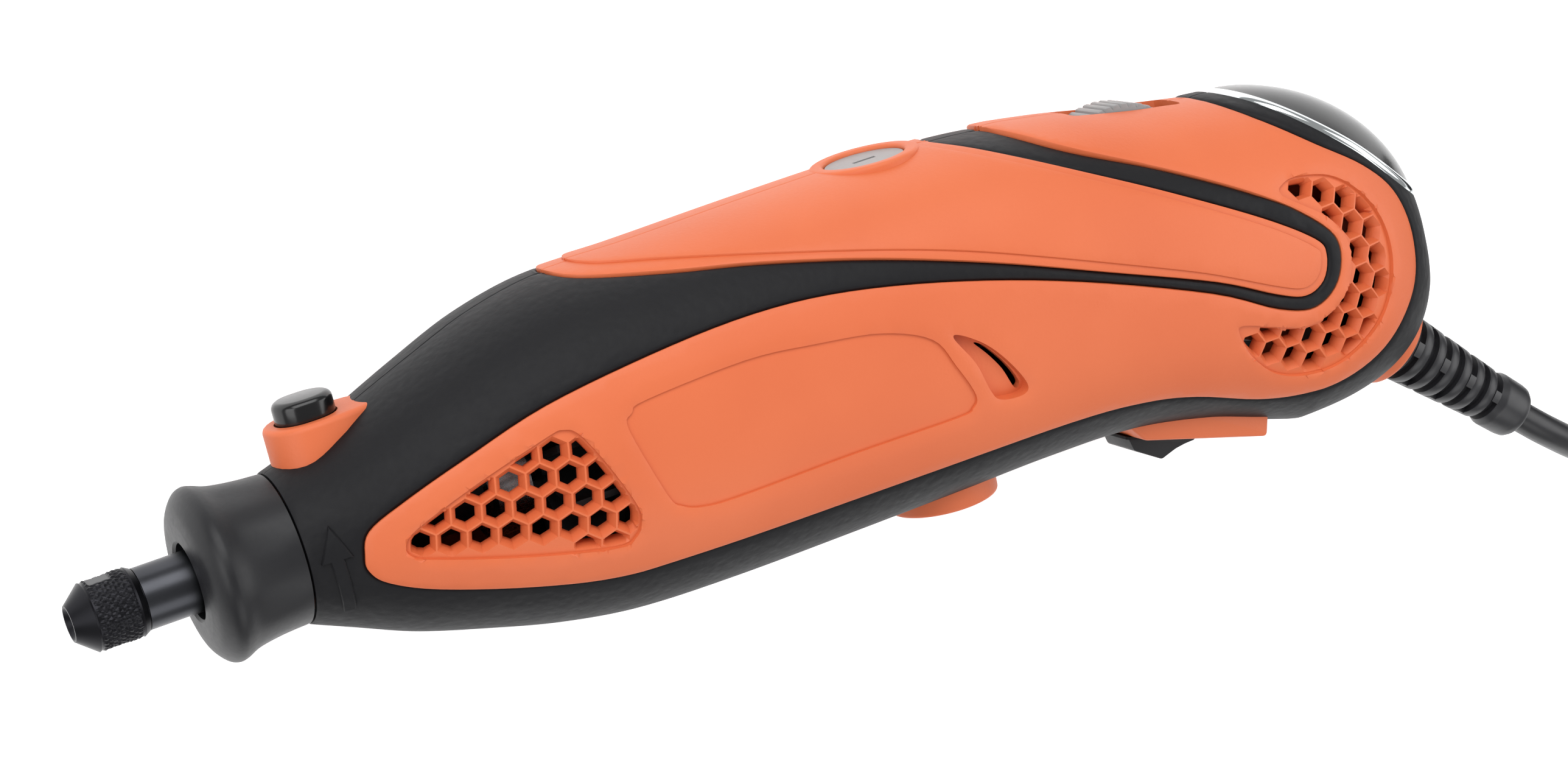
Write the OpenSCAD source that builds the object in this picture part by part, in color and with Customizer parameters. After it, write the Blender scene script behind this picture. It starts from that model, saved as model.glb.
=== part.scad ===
// Corded rotary tool with two clamshell halves, a soft overmoulded grip and a mains motor.
// The tool lies on its side: X runs along the spindle from the collet to the cord, Y points to the
// side with the speed dial, Z is up. Shapes are drawn from the tip of the collet nut, on the spindle's
// axis, and place() moves them to the origin under the middle of the tool.

/* [Collet] */
// Bore of the collet, the shank that it holds
shank_d = 3.2; // [2.4:0.1:3.2]
// Outer diameter of the collet
collet_d = 6; // [5.4:0.1:6.4]
// Length of the collet
collet_l = 15; // [12:0.5:17]
// Length of the collet nut
nut_l = 11; // [10:0.5:13]
// Diameter over the knurl of the collet nut
nut_d = 11.2; // [10.6:0.1:11.6]
// Diameter of the front face of the collet nut
nut_face_d = 5.8; // [5.4:0.1:7]
// Length of the cone on the collet nut
nut_cone_l = 3; // [2:0.25:3.5]

/* [Spindle] */
// Diameter of the spindle where it shows
spindle_d = 9.8; // [9.2:0.1:9.9]
// Length of spindle that shows between the nut and the nose cap
spindle_gap = 8; // [6:0.5:12]
// Diameter of the spindle's bearing seats
journal_d = 10; // [9.9:0.1:10.4]
// Outer diameter of the spindle bearings
spindle_bearing_d = 15; // [14:0.25:15.5]
// Width of the spindle bearings
spindle_bearing_w = 4; // [3:0.25:4.5]
// Diameter of the lock pin
lock_pin_d = 3.6; // [3:0.1:4]
// Stroke of the lock button
lock_stroke = 2.6; // [2.2:0.1:2.8]

/* [Nose] */
// Length of the nose cap
cap_l = 15.3; // [13:0.1:18]
// Diameter of the mouth of the nose cap
cap_mouth_d = 12.2; // [12:0.1:13]
// Largest diameter of the nose cap
cap_flare_d = 28; // [26.5:0.5:30]
// Diameter of the thread that the nose cap screws on
nose_thread_d = 18.4; // [18:0.1:19]
// Diameter of the housing and the cap where they meet
joint_d = 24; // [23.5:0.25:25]

/* [Housing] */
// Length of the housing from the nose joint to its rear end
body_l = 205.5; // [202:0.5:216]
// Height of the back of the housing over the spindle axis
spine_h = 28.4; // [27.5:0.1:30]
// Depth of the belly under the spindle axis
belly_h = 27.2; // [26.5:0.1:28.5]
// Depth of the rear head under the spindle axis
head_drop = 36.4; // [35:0.2:38]
// Half of the width across the two shells, without the side panels
half_w = 24; // [23.5:0.1:26]
// Length of the round rear end
head_l = 32; // [30:0.5:34]
// Wall of the housing
wall = 3; // [2.8:0.1:3.2]
// Thickness of the soft grip
grip_t = 1.6; // [1.2:0.1:1.8]
// Height of the hard side panels over the grip
panel_rise = 0.4; // [0.2:0.1:0.8]
// Height of the raised upper panel over the grip
upper_rise = 0.8; // [0.6:0.1:1.2]
// Distance of the brushes behind the nose joint
brush_at = 109; // [107:0.5:112]
// Height of the brush bosses over the spindle axis
brush_boss_h = 29.5; // [29.2:0.1:31]
// Diameter of the brush bosses
brush_boss_d = 18.2; // [17.6:0.2:19]
// Depth of the label fields
label_depth = 0.4; // [0.2:0.1:0.6]
// Depth of the curved slot behind the label field
fang_depth = 2; // [1.5:0.1:2.2]

/* [Vents] */
// Distance between neighbouring vent cells
cell_pitch = 4.6; // [4.3:0.1:4.8]
// Wall between vent cells
cell_wall = 1.5; // [1.2:0.1:2]
// Depth of the fields that the vents lie in
vent_depth = 0.9; // [0.5:0.1:1.2]

/* [Motor] */
// Diameter of the motor shaft
shaft_d = 6; // [5:0.5:6.5]
// Outer diameter of the motor bearings
motor_bearing_d = 19; // [18:0.5:19.5]
// Width of the motor bearings
motor_bearing_w = 6; // [5:0.5:6.5]
// Diameter of the laminated field core
field_d = 40; // [38:0.5:40.5]
// Length of the laminated stack
stack_l = 28; // [24:0.5:29]
// Diameter of the armature core
armature_d = 23.6; // [22:0.2:24]
// Running gap between the armature and the field core
air_gap = 0.6; // [0.4:0.1:0.8]
// Diameter of the cooling fan
fan_d = 34; // [30:0.5:36]
// Width of the cooling fan
fan_w = 10; // [8:0.5:10.5]
// Diameter of the commutator
commutator_d = 16; // [15:0.5:16.5]
// Length of the commutator
commutator_l = 16; // [14:0.5:17]

/* [Brushes] */
// Diameter of the brush caps
brush_cap_d = 13; // [12.6:0.1:13.4]
// Diameter of the thread of the brush caps
brush_thread_d = 11.2; // [11:0.1:11.6]
// Width of a carbon brush along the axis
brush_w = 5; // [4.5:0.1:5.2]
// Height of a carbon brush across the axis
brush_h = 8; // [7:0.1:8.2]
// Length of a carbon brush
brush_l = 12; // [10:0.5:12.5]

/* [Controls] */
// Diameter of the speed dial
dial_d = 26; // [24:0.5:27]
// Width of the speed dial
dial_w = 8; // [7:0.25:9]
// Length of the lock button
button_l = 9.6; // [9:0.1:10]
// Width of the lock button
button_w = 8.2; // [7.5:0.1:8.6]
// Length of the switch slider
slider_l = 12.8; // [11:0.2:14]
// Width of the switch slider
slider_w = 9; // [8:0.2:10]
// Travel of the switch slider
slider_travel = 6; // [4:0.5:7]

/* [Cord] */
// Diameter of the mains cord
cord_d = 5.6; // [5.2:0.1:5.8]
// Length of the strain relief outside the housing
relief_l = 25; // [22:0.5:30]
// Diameter of the strain relief at the housing
relief_base_d = 12.2; // [11.5:0.1:13]
// Diameter of the strain relief at its tip
relief_tip_d = 9.4; // [9:0.1:10]
// Mean radius of the cord's coil
coil_r = 33; // [31:0.5:34]
// Space between neighbouring turns of the coil
coil_gap = 0.5; // [0.45:0.05:0.8]

/* [Hidden] */

// Clearances: a running fit, a fit that stays put, moulded parts side by side, a sliding piece
run_fit = 0.02;
seat_fit = 0.05;
mould_fit = 0.1;
slide_fit = 0.3;
// Facets of exact round parts, of round edges inside the moulded shells, and of their screw posts
fine_fn = 96;
shell_fn = 16;
post_fn = 8;

// Stations along the axis
nose_x = nut_l + spindle_gap;
joint_x = nose_x + cap_l + 0.2;
end_x = joint_x + body_l;
head_x = end_x - head_l;
brush_x = joint_x + brush_at;
joint_r = joint_d / 2;

// Nose group: the carrier holds both spindle bearings, with the lock disc between them
carrier_l = 31.5;
carrier_x = joint_x - 10.5;
carrier_end_x = carrier_x + carrier_l;
carrier_r = nose_thread_d / 2;
carrier_bore_r = spindle_bearing_d / 2 + run_fit;
rear_seat_x = carrier_end_x - 1 - spindle_bearing_w;
lock_x = joint_x + 8.8;
lock_disc_r = 6.8;
lock_disc_w = 6;
flange_r = carrier_r + 1.3;
flange_x = joint_x + 15;
flange_w = 2;
spindle_end_x = carrier_end_x + 5.5;
drive_r = 4;
nut_thread_r = 4.3;

// Motor, counted from its brushes
shaft_r = shaft_d / 2;
overhang = 6.5;
stack_x = brush_x - 22 - stack_l;
fan_x = stack_x - overhang - 1.5 - fan_w;
front_bearing_x = fan_x - 3 - motor_bearing_w;
rear_bearing_x = brush_x + 12;
shaft_start_x = spindle_end_x + 0.5;
shaft_end_x = rear_bearing_x + motor_bearing_w + 2;
coupler_x = spindle_end_x - 5;
coupler_end_x = front_bearing_x - 1;
coupler_r = 6.5;
field_r = field_d / 2;
field_bore_r = armature_d / 2 + air_gap;
coil_in_r = field_bore_r + 0.5;
coil_out_r = coil_in_r + 4.6;
commutator_x = brush_x - commutator_l / 2;
commutator_r = commutator_d / 2;

// Lock button on its boss
boss_top = 18.4;
boss_rim = 2.2;
button_floor = 14.6;
button_skirt = button_floor + lock_stroke + slide_fit;
button_top = button_skirt + 4.3;
lock_pin_y = lock_disc_r + 0.5;
lock_bore_r = lock_pin_d / 2 + 1.2;

// Brush groups
cap_top = brush_boss_h - 0.6;
cap_head_h = 1.8;
holder_y = commutator_r + 1;
holder_end = 20.4;
holder_wall = 0.7;
thread_start = holder_end + 0.4;
brush_end = commutator_r - 1.2 + brush_l;
cap_pocket_end = cap_top - cap_head_h - 1.2;

// Speed dial with its shaft along Z, over the control board
dial_x = rear_bearing_x + motor_bearing_w + 13 + dial_d / 2;
dial_y = spine_h - 3.2 - dial_d / 2;
dial_shaft_r = 3;
pot_r = 5.5;
pot_top = -dial_w / 2 - 1;
board_t = 1.6;
board_top = -10.4;

// Switch under the belly: a frame that follows the sloping pad
pad_x = head_x - 32;
pad_y = -belly_h - 1.7;
pad_tilt = -16.7;
pad_l = 25.4;
pad_w = 18;
slider_x = 1;
stem_l = 4;
switch_y = 5.2;
switch_l = 22;
switch_h = 11;
switch_w = 16;

// Strain relief: where it leaves the housing, and its direction
relief_x = end_x - 3.4;
relief_y = -34.2;
relief_turn = -43.3;
relief_dir = [cos(relief_turn), sin(relief_turn)];
relief_tip = [relief_x, relief_y] + relief_l * relief_dir;
relief_end_r = relief_tip_d / 2 - 0.8;
neck_r = 5;
relief_flange_r = 7.5;
gland_r = 8.6;
clamp_l = 7;

// Screws that close the housing from the far side: place in the drawn outline of the body
SCREWS = [[60, -15.4], [62.5, 15.4], [89, -22.6], [129.5, 22.8], [166, -19.5], [169, 17.5], [229.8, -9]];
screw_r = 1.5;
screw_boss_r = 3.6;
screw_head_r = 2.7;
screw_head_z = -12;
screw_tip_z = 7.5;

// Where the styling lines were drawn, and where those places lie on this body
DRAWN = [34.5, 143.5, 208, 240];
PLACES = [joint_x, brush_x, head_x, end_x];
function along(x) = lookup(x, [for (i = [0:3]) [DRAWN[i], PLACES[i]]]);
function across(y) = y * (y > 0 ? spine_h / 28.4 : belly_h / 27.2);
function laid(points) = [for (p = points) [along(p[0]), across(p[1])]];
function screw_place(i) = [along(SCREWS[i][0]), across(SCREWS[i][1])];
function mix(a, b, t) = a + (b - a) * t;

// A smooth line through points, open or closed, with a number of steps from each to the next
function knot(p, i) = p[max(0, min(len(p) - 1, i))];
function bend(a, b, c, d, t) =
  0.5 * (2 * b + (c - a) * t + (2 * a - 5 * b + 4 * c - d) * t * t + (3 * b - a - 3 * c + d) * t * t * t);
function smooth(p, steps = 2) = [
  for (i = [0:len(p) - 2]) for (k = [0:steps - 1])
    bend(knot(p, i - 1), knot(p, i), knot(p, i + 1), knot(p, i + 2), k / steps),
  p[len(p) - 1]
];
function smooth_loop(p, steps = 2) = let (n = len(p)) [
  for (i = [0:n - 1]) for (k = [0:steps - 1])
    bend(p[(i + n - 1) % n], p[i], p[(i + 1) % n], p[(i + 2) % n], k / steps)
];

// Body of the tool: place on the axis, height of the back, depth of the belly, half width, squareness
body_steps = 11;
rear_steps = 5;
body_sides = 20;
inner_steps = 8;
inner_sides = 12;
head_mid = -10;
head_back = spine_h - 7.8;
head_half_w = half_w - 2.4;
function from_joint(size, t) = mix(joint_r, size, t);
STATIONS = [
  [along(34.5), joint_r, joint_r, joint_r, 2.0],
  [along(41), from_joint(spine_h, 0.12), from_joint(belly_h, 0.18), from_joint(half_w, 0.15), 2.05],
  [along(50), from_joint(spine_h, 0.35), from_joint(belly_h, 0.43), from_joint(half_w, 0.42), 2.15],
  [along(61), from_joint(spine_h, 0.6), from_joint(belly_h, 0.65), from_joint(half_w, 0.65), 2.25],
  [along(72), from_joint(spine_h, 0.83), from_joint(belly_h, 0.84), from_joint(half_w, 0.82), 2.3],
  [along(84), from_joint(spine_h, 0.97), from_joint(belly_h, 0.97), from_joint(half_w, 0.92), 2.35],
  [along(100), spine_h - 0.4, belly_h, half_w - 0.2, 2.4],
  [along(122), spine_h, belly_h, half_w, 2.4],
  [along(143), spine_h + 0.1, belly_h - 0.1, half_w, 2.4],
  [along(160), spine_h - 0.4, belly_h - 0.3, half_w - 0.2, 2.4],
  [along(176), spine_h - 2.6, mix(belly_h, head_drop, 0.04), half_w - 0.6, 2.4],
  [along(190), spine_h - 5.4, mix(belly_h, head_drop, 0.34), half_w - 1, 2.4],
  [along(200), spine_h - 6.8, mix(belly_h, head_drop, 0.71), half_w - 1.6, 2.4],
  [along(208), head_back, head_drop, head_half_w, 2.4]
];

function span_of(x, i = 0) = i >= len(STATIONS) - 2 || x < STATIONS[i + 1][0] ? i : span_of(x, i + 1);
function rate(i, k) =
  let (a = max(0, i - 1), b = min(len(STATIONS) - 1, i + 1))
  (STATIONS[b][k] - STATIONS[a][k]) / (STATIONS[b][0] - STATIONS[a][0]);
function reading(x, k) =
  let (i = span_of(x), a = STATIONS[i], b = STATIONS[i + 1], h = b[0] - a[0], t = (x - a[0]) / h)
  let (u = t * t, v = t * t * t)
  (2 * v - 3 * u + 1) * a[k] + (v - 2 * u + t) * h * rate(i, k) + (3 * u - 2 * v) * b[k]
  + (v - u) * h * rate(i + 1, k);

// Sizes of one ring of the body, grown by g: top, bottom, half width and squareness.
// In the round rear end t runs from 0 to 1, and before it t is 0 and x is used.
function bulge(t, p) = pow(max(0, 1 - pow(t, p)), 1 / p);
function ring_sizes(x, g, t) = t <= 0
  ? [reading(x, 1) + g, -reading(x, 2) - g, reading(x, 3) + g, reading(x, 4)]
  : [mix(head_mid, head_back + g, bulge(t, 1.8)), mix(head_mid, -head_drop - g, bulge(t, 2.8)),
    (head_half_w + g) * bulge(t, 2.1), 2.4];
function power(v, p) = sign(v) * pow(abs(v), p);
function ring(x, g, t, sides) =
  let (s = ring_sizes(x, g, t), mid = (s[0] + s[1]) / 2, h = (s[0] - s[1]) / 2)
  [for (j = [0:sides - 1]) let (a = 360 * j / sides)
    [x, mid + h * power(cos(a), 2 / s[3]), s[2] * power(sin(a), 2 / s[3])]];

ring_places = [for (i = [0:body_steps]) mix(joint_x, head_x, i / body_steps)];
widest = max([for (x = ring_places) reading(x, 3)]);
highest = max([for (x = ring_places) reading(x, 1)]);

// Triangles between rings of points, all with as many sides, closed at both ends by fans
function tube_faces(count, sides) = concat(
  [for (i = [0:count - 2]) for (j = [0:sides - 1]) let (a = i * sides + j, b = i * sides + (j + 1) % sides)
    each [[a, a + sides, b], [b, a + sides, b + sides]]],
  [for (j = [0:sides - 1]) [count * sides, j, (j + 1) % sides]],
  [for (j = [0:sides - 1]) let (e = (count - 1) * sides) [count * sides + 1, e + (j + 1) % sides, e + j]]
);

// The whole body as a closed solid, grown by g
module body(g, steps = body_steps, sides = body_sides) {
  reach = end_x + g - head_x;
  rings = concat(
    [for (i = [0:steps]) ring(mix(joint_x, head_x, i / steps), g, 0, sides)],
    [for (i = [1:rear_steps]) let (t = sin(86 * i / rear_steps)) ring(head_x + reach * t, g, t, sides)]
  );
  points = concat([for (r = rings) each r], [[joint_x, 0, 0], [end_x + g, head_mid, 0]]);
  polyhedron(points, tube_faces(len(rings), sides), convexity = 6);
}

// The room inside the walls, plainer than the outside
module inside_body(g) {
  body(g, inner_steps, inner_sides);
}

// Middle of the tool without its cord, and the height of the spindle axis over the ground
relief_reach = max(relief_end_r, relief_tip_d / 2 + 0.8 / tan(relief_turn));
relief_depth = max(relief_end_r, relief_tip_d / 2 + 0.8 * tan(relief_turn));
mid_x = (relief_tip[0] - relief_reach * sin(relief_turn)) / 2;
mid_y = (max(brush_boss_h, highest + upper_rise) + relief_tip[1] - relief_depth * cos(relief_turn)) / 2;
rest_z = widest + panel_rise;

// Styling lines, seen from the side
SWOOP = [[42.4, -1.6], [44, 2], [50, 5], [60, 8.6], [74, 12.8], [92, 15.2], [110, 16], [126, 14.6],
  [145, 10.4], [165, 4], [188, -5.4], [200, -12], [207, -13.8], [212, -11], [213.8, -5.4], [211, -0.6],
  [202, 6.6], [186, 16], [172, 23], [163.5, 28.5]];
REAR_LINE = [[203, 21.8], [209, 16.8], [216, 11], [224, 5], [229.5, -1], [231.8, -8], [231, -15],
  [227.5, -20.5], [221, -26], [213, -28.8], [205, -28.9], [196, -27], [184, -22.4], [174, -20],
  [160, -18.6], [130, -18], [92, -17.4], [79, -16.8], [66, -14], [52, -9.8], [45, -6.6], [42.6, -4]];
UPPER_LINE = [[85, 28.6], [88.5, 27.3], [101, 24.8], [115, 22.2], [132.5, 17.7], [151, 11.5], [170, 4],
  [189, -3.7], [200, -9.4], [205.5, -11.4], [209.4, -10], [211, -6], [209.5, -2.8], [200.5, 3.5],
  [185, 12.6], [172, 19.7], [164, 24], [157.5, 27.3], [153.5, 28.8]];
LABEL = [[85, 5.6], [89, 9], [106, 10], [129, 7], [137, 3.4], [140, -2], [142.6, -8.2], [138.6, -10.2],
  [120, -10], [94, -9.6], [88.4, -6]];
FANG = [[140.6, 2.4], [142, 2.5], [146, -0.4], [149.4, -4.6], [151.8, -9], [150.6, -10.4], [146.6, -9.8],
  [145, -7.6], [143.4, -2.6]];
FRONT_VENT = [[48.6, -1.8], [50.6, 0.6], [61, 4.8], [72.6, 8.4], [76.8, 7.6], [80, 2.4], [83.5, -6.8],
  [82.6, -11], [79, -11.8], [64.8, -8.5], [51.4, -4.4]];
REAR_VENT = [[206, 7], [209.5, 7.6], [216, 5.9], [221, 1.8], [224.4, -4], [225.2, -10.5], [223.2, -16.8],
  [219, -21.8], [212, -25.3], [205, -25.4], [198.5, -23], [193.6, -18], [192, -12.4], [198.2, -14.4],
  [204.1, -16.4], [209.8, -15.8], [214.3, -12.2], [215.9, -5.9], [213.2, -0.5], [207, 4.5]];
ARROW = [[38.8, 4.4], [36.2, -1], [37.6, -1], [38.4, -9.4], [40.2, -9.4], [39.6, -1], [41, -1]];
front_outline = smooth_loop(laid(FRONT_VENT));
rear_outline = smooth_loop(laid(REAR_VENT), 1);
label_outline = smooth_loop(laid(LABEL));
far_up = 60;

module side_panel() {
  polygon(concat(smooth(laid(SWOOP)), [[along(163.5), far_up], [along(203), far_up]], laid(REAR_LINE)));
}

module upper_panel() {
  polygon(concat(smooth(laid(UPPER_LINE)), [[along(153.5), far_up], [along(85), far_up]]));
}

// Whether a point lies in an outline, by the edges that a line to its right crosses
function crosses(p, a, b) =
  (a[1] > p[1]) != (b[1] > p[1]) && p[0] < (b[0] - a[0]) * (p[1] - a[1]) / (b[1] - a[1]) + a[0];
function inside(p, o) = len([for (i = [0:len(o) - 1]) if (crosses(p, o[i], o[(i + 1) % len(o)])) 1]) % 2 == 1;

// Centres of the whole vent cells in an outline: a lattice from a start, its rows turned by a
cell_r = (cell_pitch - cell_wall) / sqrt(3);
function spoke(a, r) = r * [cos(a), sin(a)];
function cells(start, a, outline) = [
  for (i = [-9:9]) for (j = [-9:9])
    let (p = start + i * spoke(a, cell_pitch) + j * spoke(a + 60, cell_pitch))
    if (len([for (k = [0:5]) if (inside(p + spoke(a + 30 + 60 * k, cell_r + 0.3), outline)) 1]) == 6) p
];

module vent_cuts(outline, start, a) {
  for (p = cells(start, a, outline)) translate([p[0], p[1], 8]) rotate([0, 0, a + 30])
    cylinder(h = half_w, r1 = cell_r, r2 = cell_r + 0.15, $fn = 6);
}

// Moves what is drawn on the spindle's axis to the tool's place in the frame
module place() {
  translate([-mid_x, -mid_y, rest_z]) children();
}

// Stands what is drawn along Z on the spindle's axis, from x on
module on_axis(x) {
  translate([x, 0, 0]) rotate([0, 90, 0]) children();
}

module tube(l, outer_r, inner_r) {
  difference() {
    cylinder(h = l, r = outer_r, $fn = fine_fn);
    translate([0, 0, -1]) cylinder(h = l + 2, r = inner_r, $fn = fine_fn);
  }
}

module block(x, y, h) {
  translate([-x / 2, -y / 2, 0]) cube([x, y, h]);
}

module oval(l, w, h) {
  linear_extrude(h) union() {
    for (s = [-1, 1]) translate([s * (l - w) / 2, 0]) circle(d = w, $fn = shell_fn);
    square([l - w, w], center = true);
  }
}

// Frame of the lock button: Z away from the spindle, from height y on
module on_lock(y) {
  translate([lock_x, y, 0]) rotate([-90, 0, 0]) children();
}

// Frame of a brush: Z away from the spindle, turned to the back (1) or the belly (-1)
module on_brush(side) {
  translate([brush_x, 0, 0]) rotate([side > 0 ? -90 : 90, 0, 0]) children();
}

// Frame of the switch pad: X along the pad, Y into the tool, zero on the pad's face
module on_pad() {
  translate([pad_x, pad_y, 0]) rotate([0, 0, pad_tilt]) children();
}

// Frame of the strain relief: Z along the cord, zero where the relief leaves the housing
module on_relief() {
  translate([relief_x, relief_y, 0]) rotate([0, 0, relief_turn]) rotate([0, 90, 0]) children();
}

/* Collet and nut */

module collet_nut() {
  hole_r = shank_d / 2 + 0.35;
  knurl_depth = 0.25;
  color("#1c1c1e") place() difference() {
    union() {
      on_axis(0) rotate_extrude($fn = fine_fn) polygon([
        [0, 0], [nut_face_d / 2, 0], [nut_d / 2 - 0.15, nut_cone_l], [nut_d / 2 - 0.3, nut_cone_l + 0.4],
        [nut_d / 2 - 0.3, nut_l - 1.2], [nut_d / 2 - 0.1, nut_l - 1], [nut_d / 2 - 0.6, nut_l], [0, nut_l]
      ]);
      on_axis(nut_cone_l + 0.6) linear_extrude(nut_l - nut_cone_l - 2.2)
        polygon([for (i = [0:79]) spoke(4.5 * i, nut_d / 2 - (i % 2) * knurl_depth)]);
    }
    on_axis(0) rotate_extrude($fn = fine_fn) polygon([
      [0, -1], [hole_r + 0.6, -1], [hole_r, 0.8], [hole_r, 1.1], [collet_d / 2 + 0.1, 3.2],
      [collet_d / 2 + 0.1, 4.2], [nut_thread_r, 4.2], [nut_thread_r, nut_l + 1], [0, nut_l + 1]
    ]);
    for (s = [-1, 1]) translate([nut_cone_l + 1, s * (nut_d / 2 + 1.6) - 2, -nut_d])
      cube([3.6, 4, 2 * nut_d]);
  }
}

collet_x = 1.4;

module collet() {
  collet_r = collet_d / 2;
  slot = 0.4;
  color("#8d9094") place() difference() {
    on_axis(collet_x) rotate_extrude($fn = fine_fn) polygon([
      [shank_d / 2, 0], [collet_r - 1, 0], [collet_r, 2], [collet_r, collet_l], [shank_d / 2, collet_l]
    ]);
    for (a = [0, 90]) on_axis(0) rotate([0, 0, a]) translate([-slot / 2, -collet_d, 0])
      cube([slot, 2 * collet_d, collet_l - 3]);
  }
}

/* Spindle and its bearings */

module spindle() {
  color("#2a2a2c") place() difference() {
    on_axis(0) rotate_extrude($fn = fine_fn) polygon([
      [0, 4.5], [nut_thread_r - seat_fit, 4.5], [nut_thread_r - seat_fit, nut_l + 0.2],
      [spindle_d / 2, nut_l + 0.2], [spindle_d / 2, joint_x - 0.1], [journal_d / 2, joint_x - 0.1],
      [journal_d / 2, lock_x - lock_disc_w / 2], [lock_disc_r, lock_x - lock_disc_w / 2],
      [lock_disc_r, lock_x + lock_disc_w / 2], [journal_d / 2, lock_x + lock_disc_w / 2],
      [journal_d / 2, carrier_end_x - 0.6], [drive_r, carrier_end_x - 0.6],
      [drive_r, spindle_end_x], [0, spindle_end_x]
    ]);
    on_axis(0) cylinder(h = collet_x + collet_l + 0.6, r = collet_d / 2 + seat_fit, $fn = fine_fn);
    for (a = [0:90:270]) translate([lock_x, 0, 0]) rotate([a, 0, 0])
      translate([0, 0, 3.6]) cylinder(h = lock_disc_r, r = lock_pin_d / 2 + slide_fit, $fn = fine_fn);
  }
}

module bearing(w, outer_r, inner_r) {
  groove_r = (outer_r + inner_r) / 2;
  rotate_extrude($fn = fine_fn) polygon([
    [inner_r, 0], [groove_r - 0.6, 0], [groove_r - 0.6, 0.25], [groove_r + 0.6, 0.25], [groove_r + 0.6, 0],
    [outer_r, 0], [outer_r, w], [groove_r + 0.6, w], [groove_r + 0.6, w - 0.25],
    [groove_r - 0.6, w - 0.25], [groove_r - 0.6, w], [inner_r, w]
  ]);
}

module spindle_bearing(x) {
  color("#b9bcc0") place() on_axis(x)
    bearing(spindle_bearing_w, spindle_bearing_d / 2, journal_d / 2 + run_fit);
}

module spindle_bearing_front() {
  spindle_bearing(joint_x);
}

module spindle_bearing_rear() {
  spindle_bearing(rear_seat_x);
}

// Steel tube that holds both bearings, with the thread for the nose cap in front
module bearing_carrier() {
  throat_r = cap_mouth_d / 2 - 0.5;
  color("#9a9da1") place() difference() {
    on_axis(0) rotate_extrude($fn = fine_fn) polygon([
      [throat_r, carrier_x], [carrier_r - 0.5, carrier_x], [carrier_r, carrier_x + 0.5],
      [carrier_r, flange_x], [flange_r, flange_x], [flange_r, flange_x + flange_w],
      [carrier_r, flange_x + flange_w], [carrier_r, carrier_end_x],
      [carrier_bore_r, carrier_end_x], [carrier_bore_r, joint_x - seat_fit], [throat_r, joint_x - seat_fit]
    ]);
    on_lock(0) cylinder(h = carrier_r + 1, r = lock_pin_d / 2 + 0.15, $fn = fine_fn);
  }
}

module nose_cap() {
  flare_r = cap_flare_d / 2;
  thread_r = carrier_r + slide_fit / 2;
  thread_start = carrier_x - nose_x - 0.3;
  color("#202022") place() on_axis(nose_x) rotate_extrude($fn = 128) polygon(concat(
    [[cap_mouth_d / 2, 0.4], [cap_mouth_d / 2 + 0.4, 0]],
    smooth([[9, 0.1], [flare_r - 2.6, 0.9], [flare_r - 0.8, 2.3], [flare_r - 0.1, 3.5], [flare_r - 0.3, 4.6],
      [flare_r - 1.1, 7], [joint_r + 0.3, cap_l - 4.3], [joint_r, cap_l]]),
    [[thread_r, cap_l], [thread_r, thread_start], [cap_mouth_d / 2, thread_start]]
  ));
}

/* Spindle lock */

module lock_button() {
  edge = 1.2;
  color("#111113") place() difference() {
    union() {
      on_lock(button_skirt) oval(button_l, button_w, button_top - button_skirt - edge);
      on_lock(button_top - edge) hull() {
        oval(button_l, button_w, 0.3);
        oval(button_l - 2, button_w - 2, edge);
      }
    }
    on_lock(button_skirt - 1) cylinder(h = 2.4, r = lock_pin_d / 2 + seat_fit, $fn = fine_fn);
  }
}

module lock_pin() {
  color("#b9bcc0") place() on_lock(lock_pin_y)
    cylinder(h = button_skirt + 1.3 - lock_pin_y, d = lock_pin_d, $fn = fine_fn);
}

module lock_spring() {
  color("#a8abaf") place() on_lock(carrier_r + 0.2)
    tube(button_skirt - carrier_r - 0.4, lock_pin_d / 2 + 0.9, lock_pin_d / 2 + 0.25);
}

/* Motor */

module drive_coupler() {
  color("#3a3a3c") place() on_axis(coupler_x) difference() {
    cylinder(h = coupler_end_x - coupler_x, r = coupler_r, $fn = fine_fn);
    translate([0, 0, -1])
      cylinder(h = spindle_end_x - coupler_x + 1.2, r = drive_r + seat_fit, $fn = fine_fn);
    cylinder(h = coupler_end_x, r = shaft_r + seat_fit, $fn = fine_fn);
  }
}

module motor_shaft() {
  color("#c2c4c7") place() on_axis(shaft_start_x)
    cylinder(h = shaft_end_x - shaft_start_x, r = shaft_r, $fn = fine_fn);
}

module armature_core() {
  core_r = armature_d / 2;
  color("#7b7d80") place() on_axis(stack_x) linear_extrude(stack_l) difference() {
    circle(r = core_r, $fn = fine_fn);
    circle(r = shaft_r + run_fit, $fn = fine_fn);
    for (i = [0:11]) rotate(30 * i) {
      translate([core_r - 1.5, -0.6]) square([2, 1.2]);
      translate([core_r - 5, -1.1]) square([3.6, 2.2]);
    }
  }
}

module armature_windings() {
  end_r = armature_d / 2 - 1.6;
  color("#b0622c") place() {
    for (x = [stack_x - overhang, stack_x + stack_l]) on_axis(x) rotate_extrude($fn = fine_fn) polygon([
      [shaft_r + 1, 0.3], [end_r - 2.4, 0.3], [end_r, 2], [end_r, overhang - 2],
      [end_r - 2.4, overhang - 0.3], [shaft_r + 1, overhang - 0.3]
    ]);
    on_axis(stack_x - 1) for (i = [0:11]) rotate([0, 0, 30 * i])
      translate([armature_d / 2 - 4.8, -0.9, 0]) cube([3.2, 1.8, stack_l + 2]);
  }
}

module commutator() {
  color("#b87333") place() on_axis(commutator_x) linear_extrude(commutator_l) difference() {
    circle(r = commutator_r, $fn = fine_fn);
    circle(r = shaft_r + run_fit, $fn = fine_fn);
    for (i = [0:17]) rotate(20 * i) translate([commutator_r - 0.8, -0.2]) square([2, 0.4]);
  }
}

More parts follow.
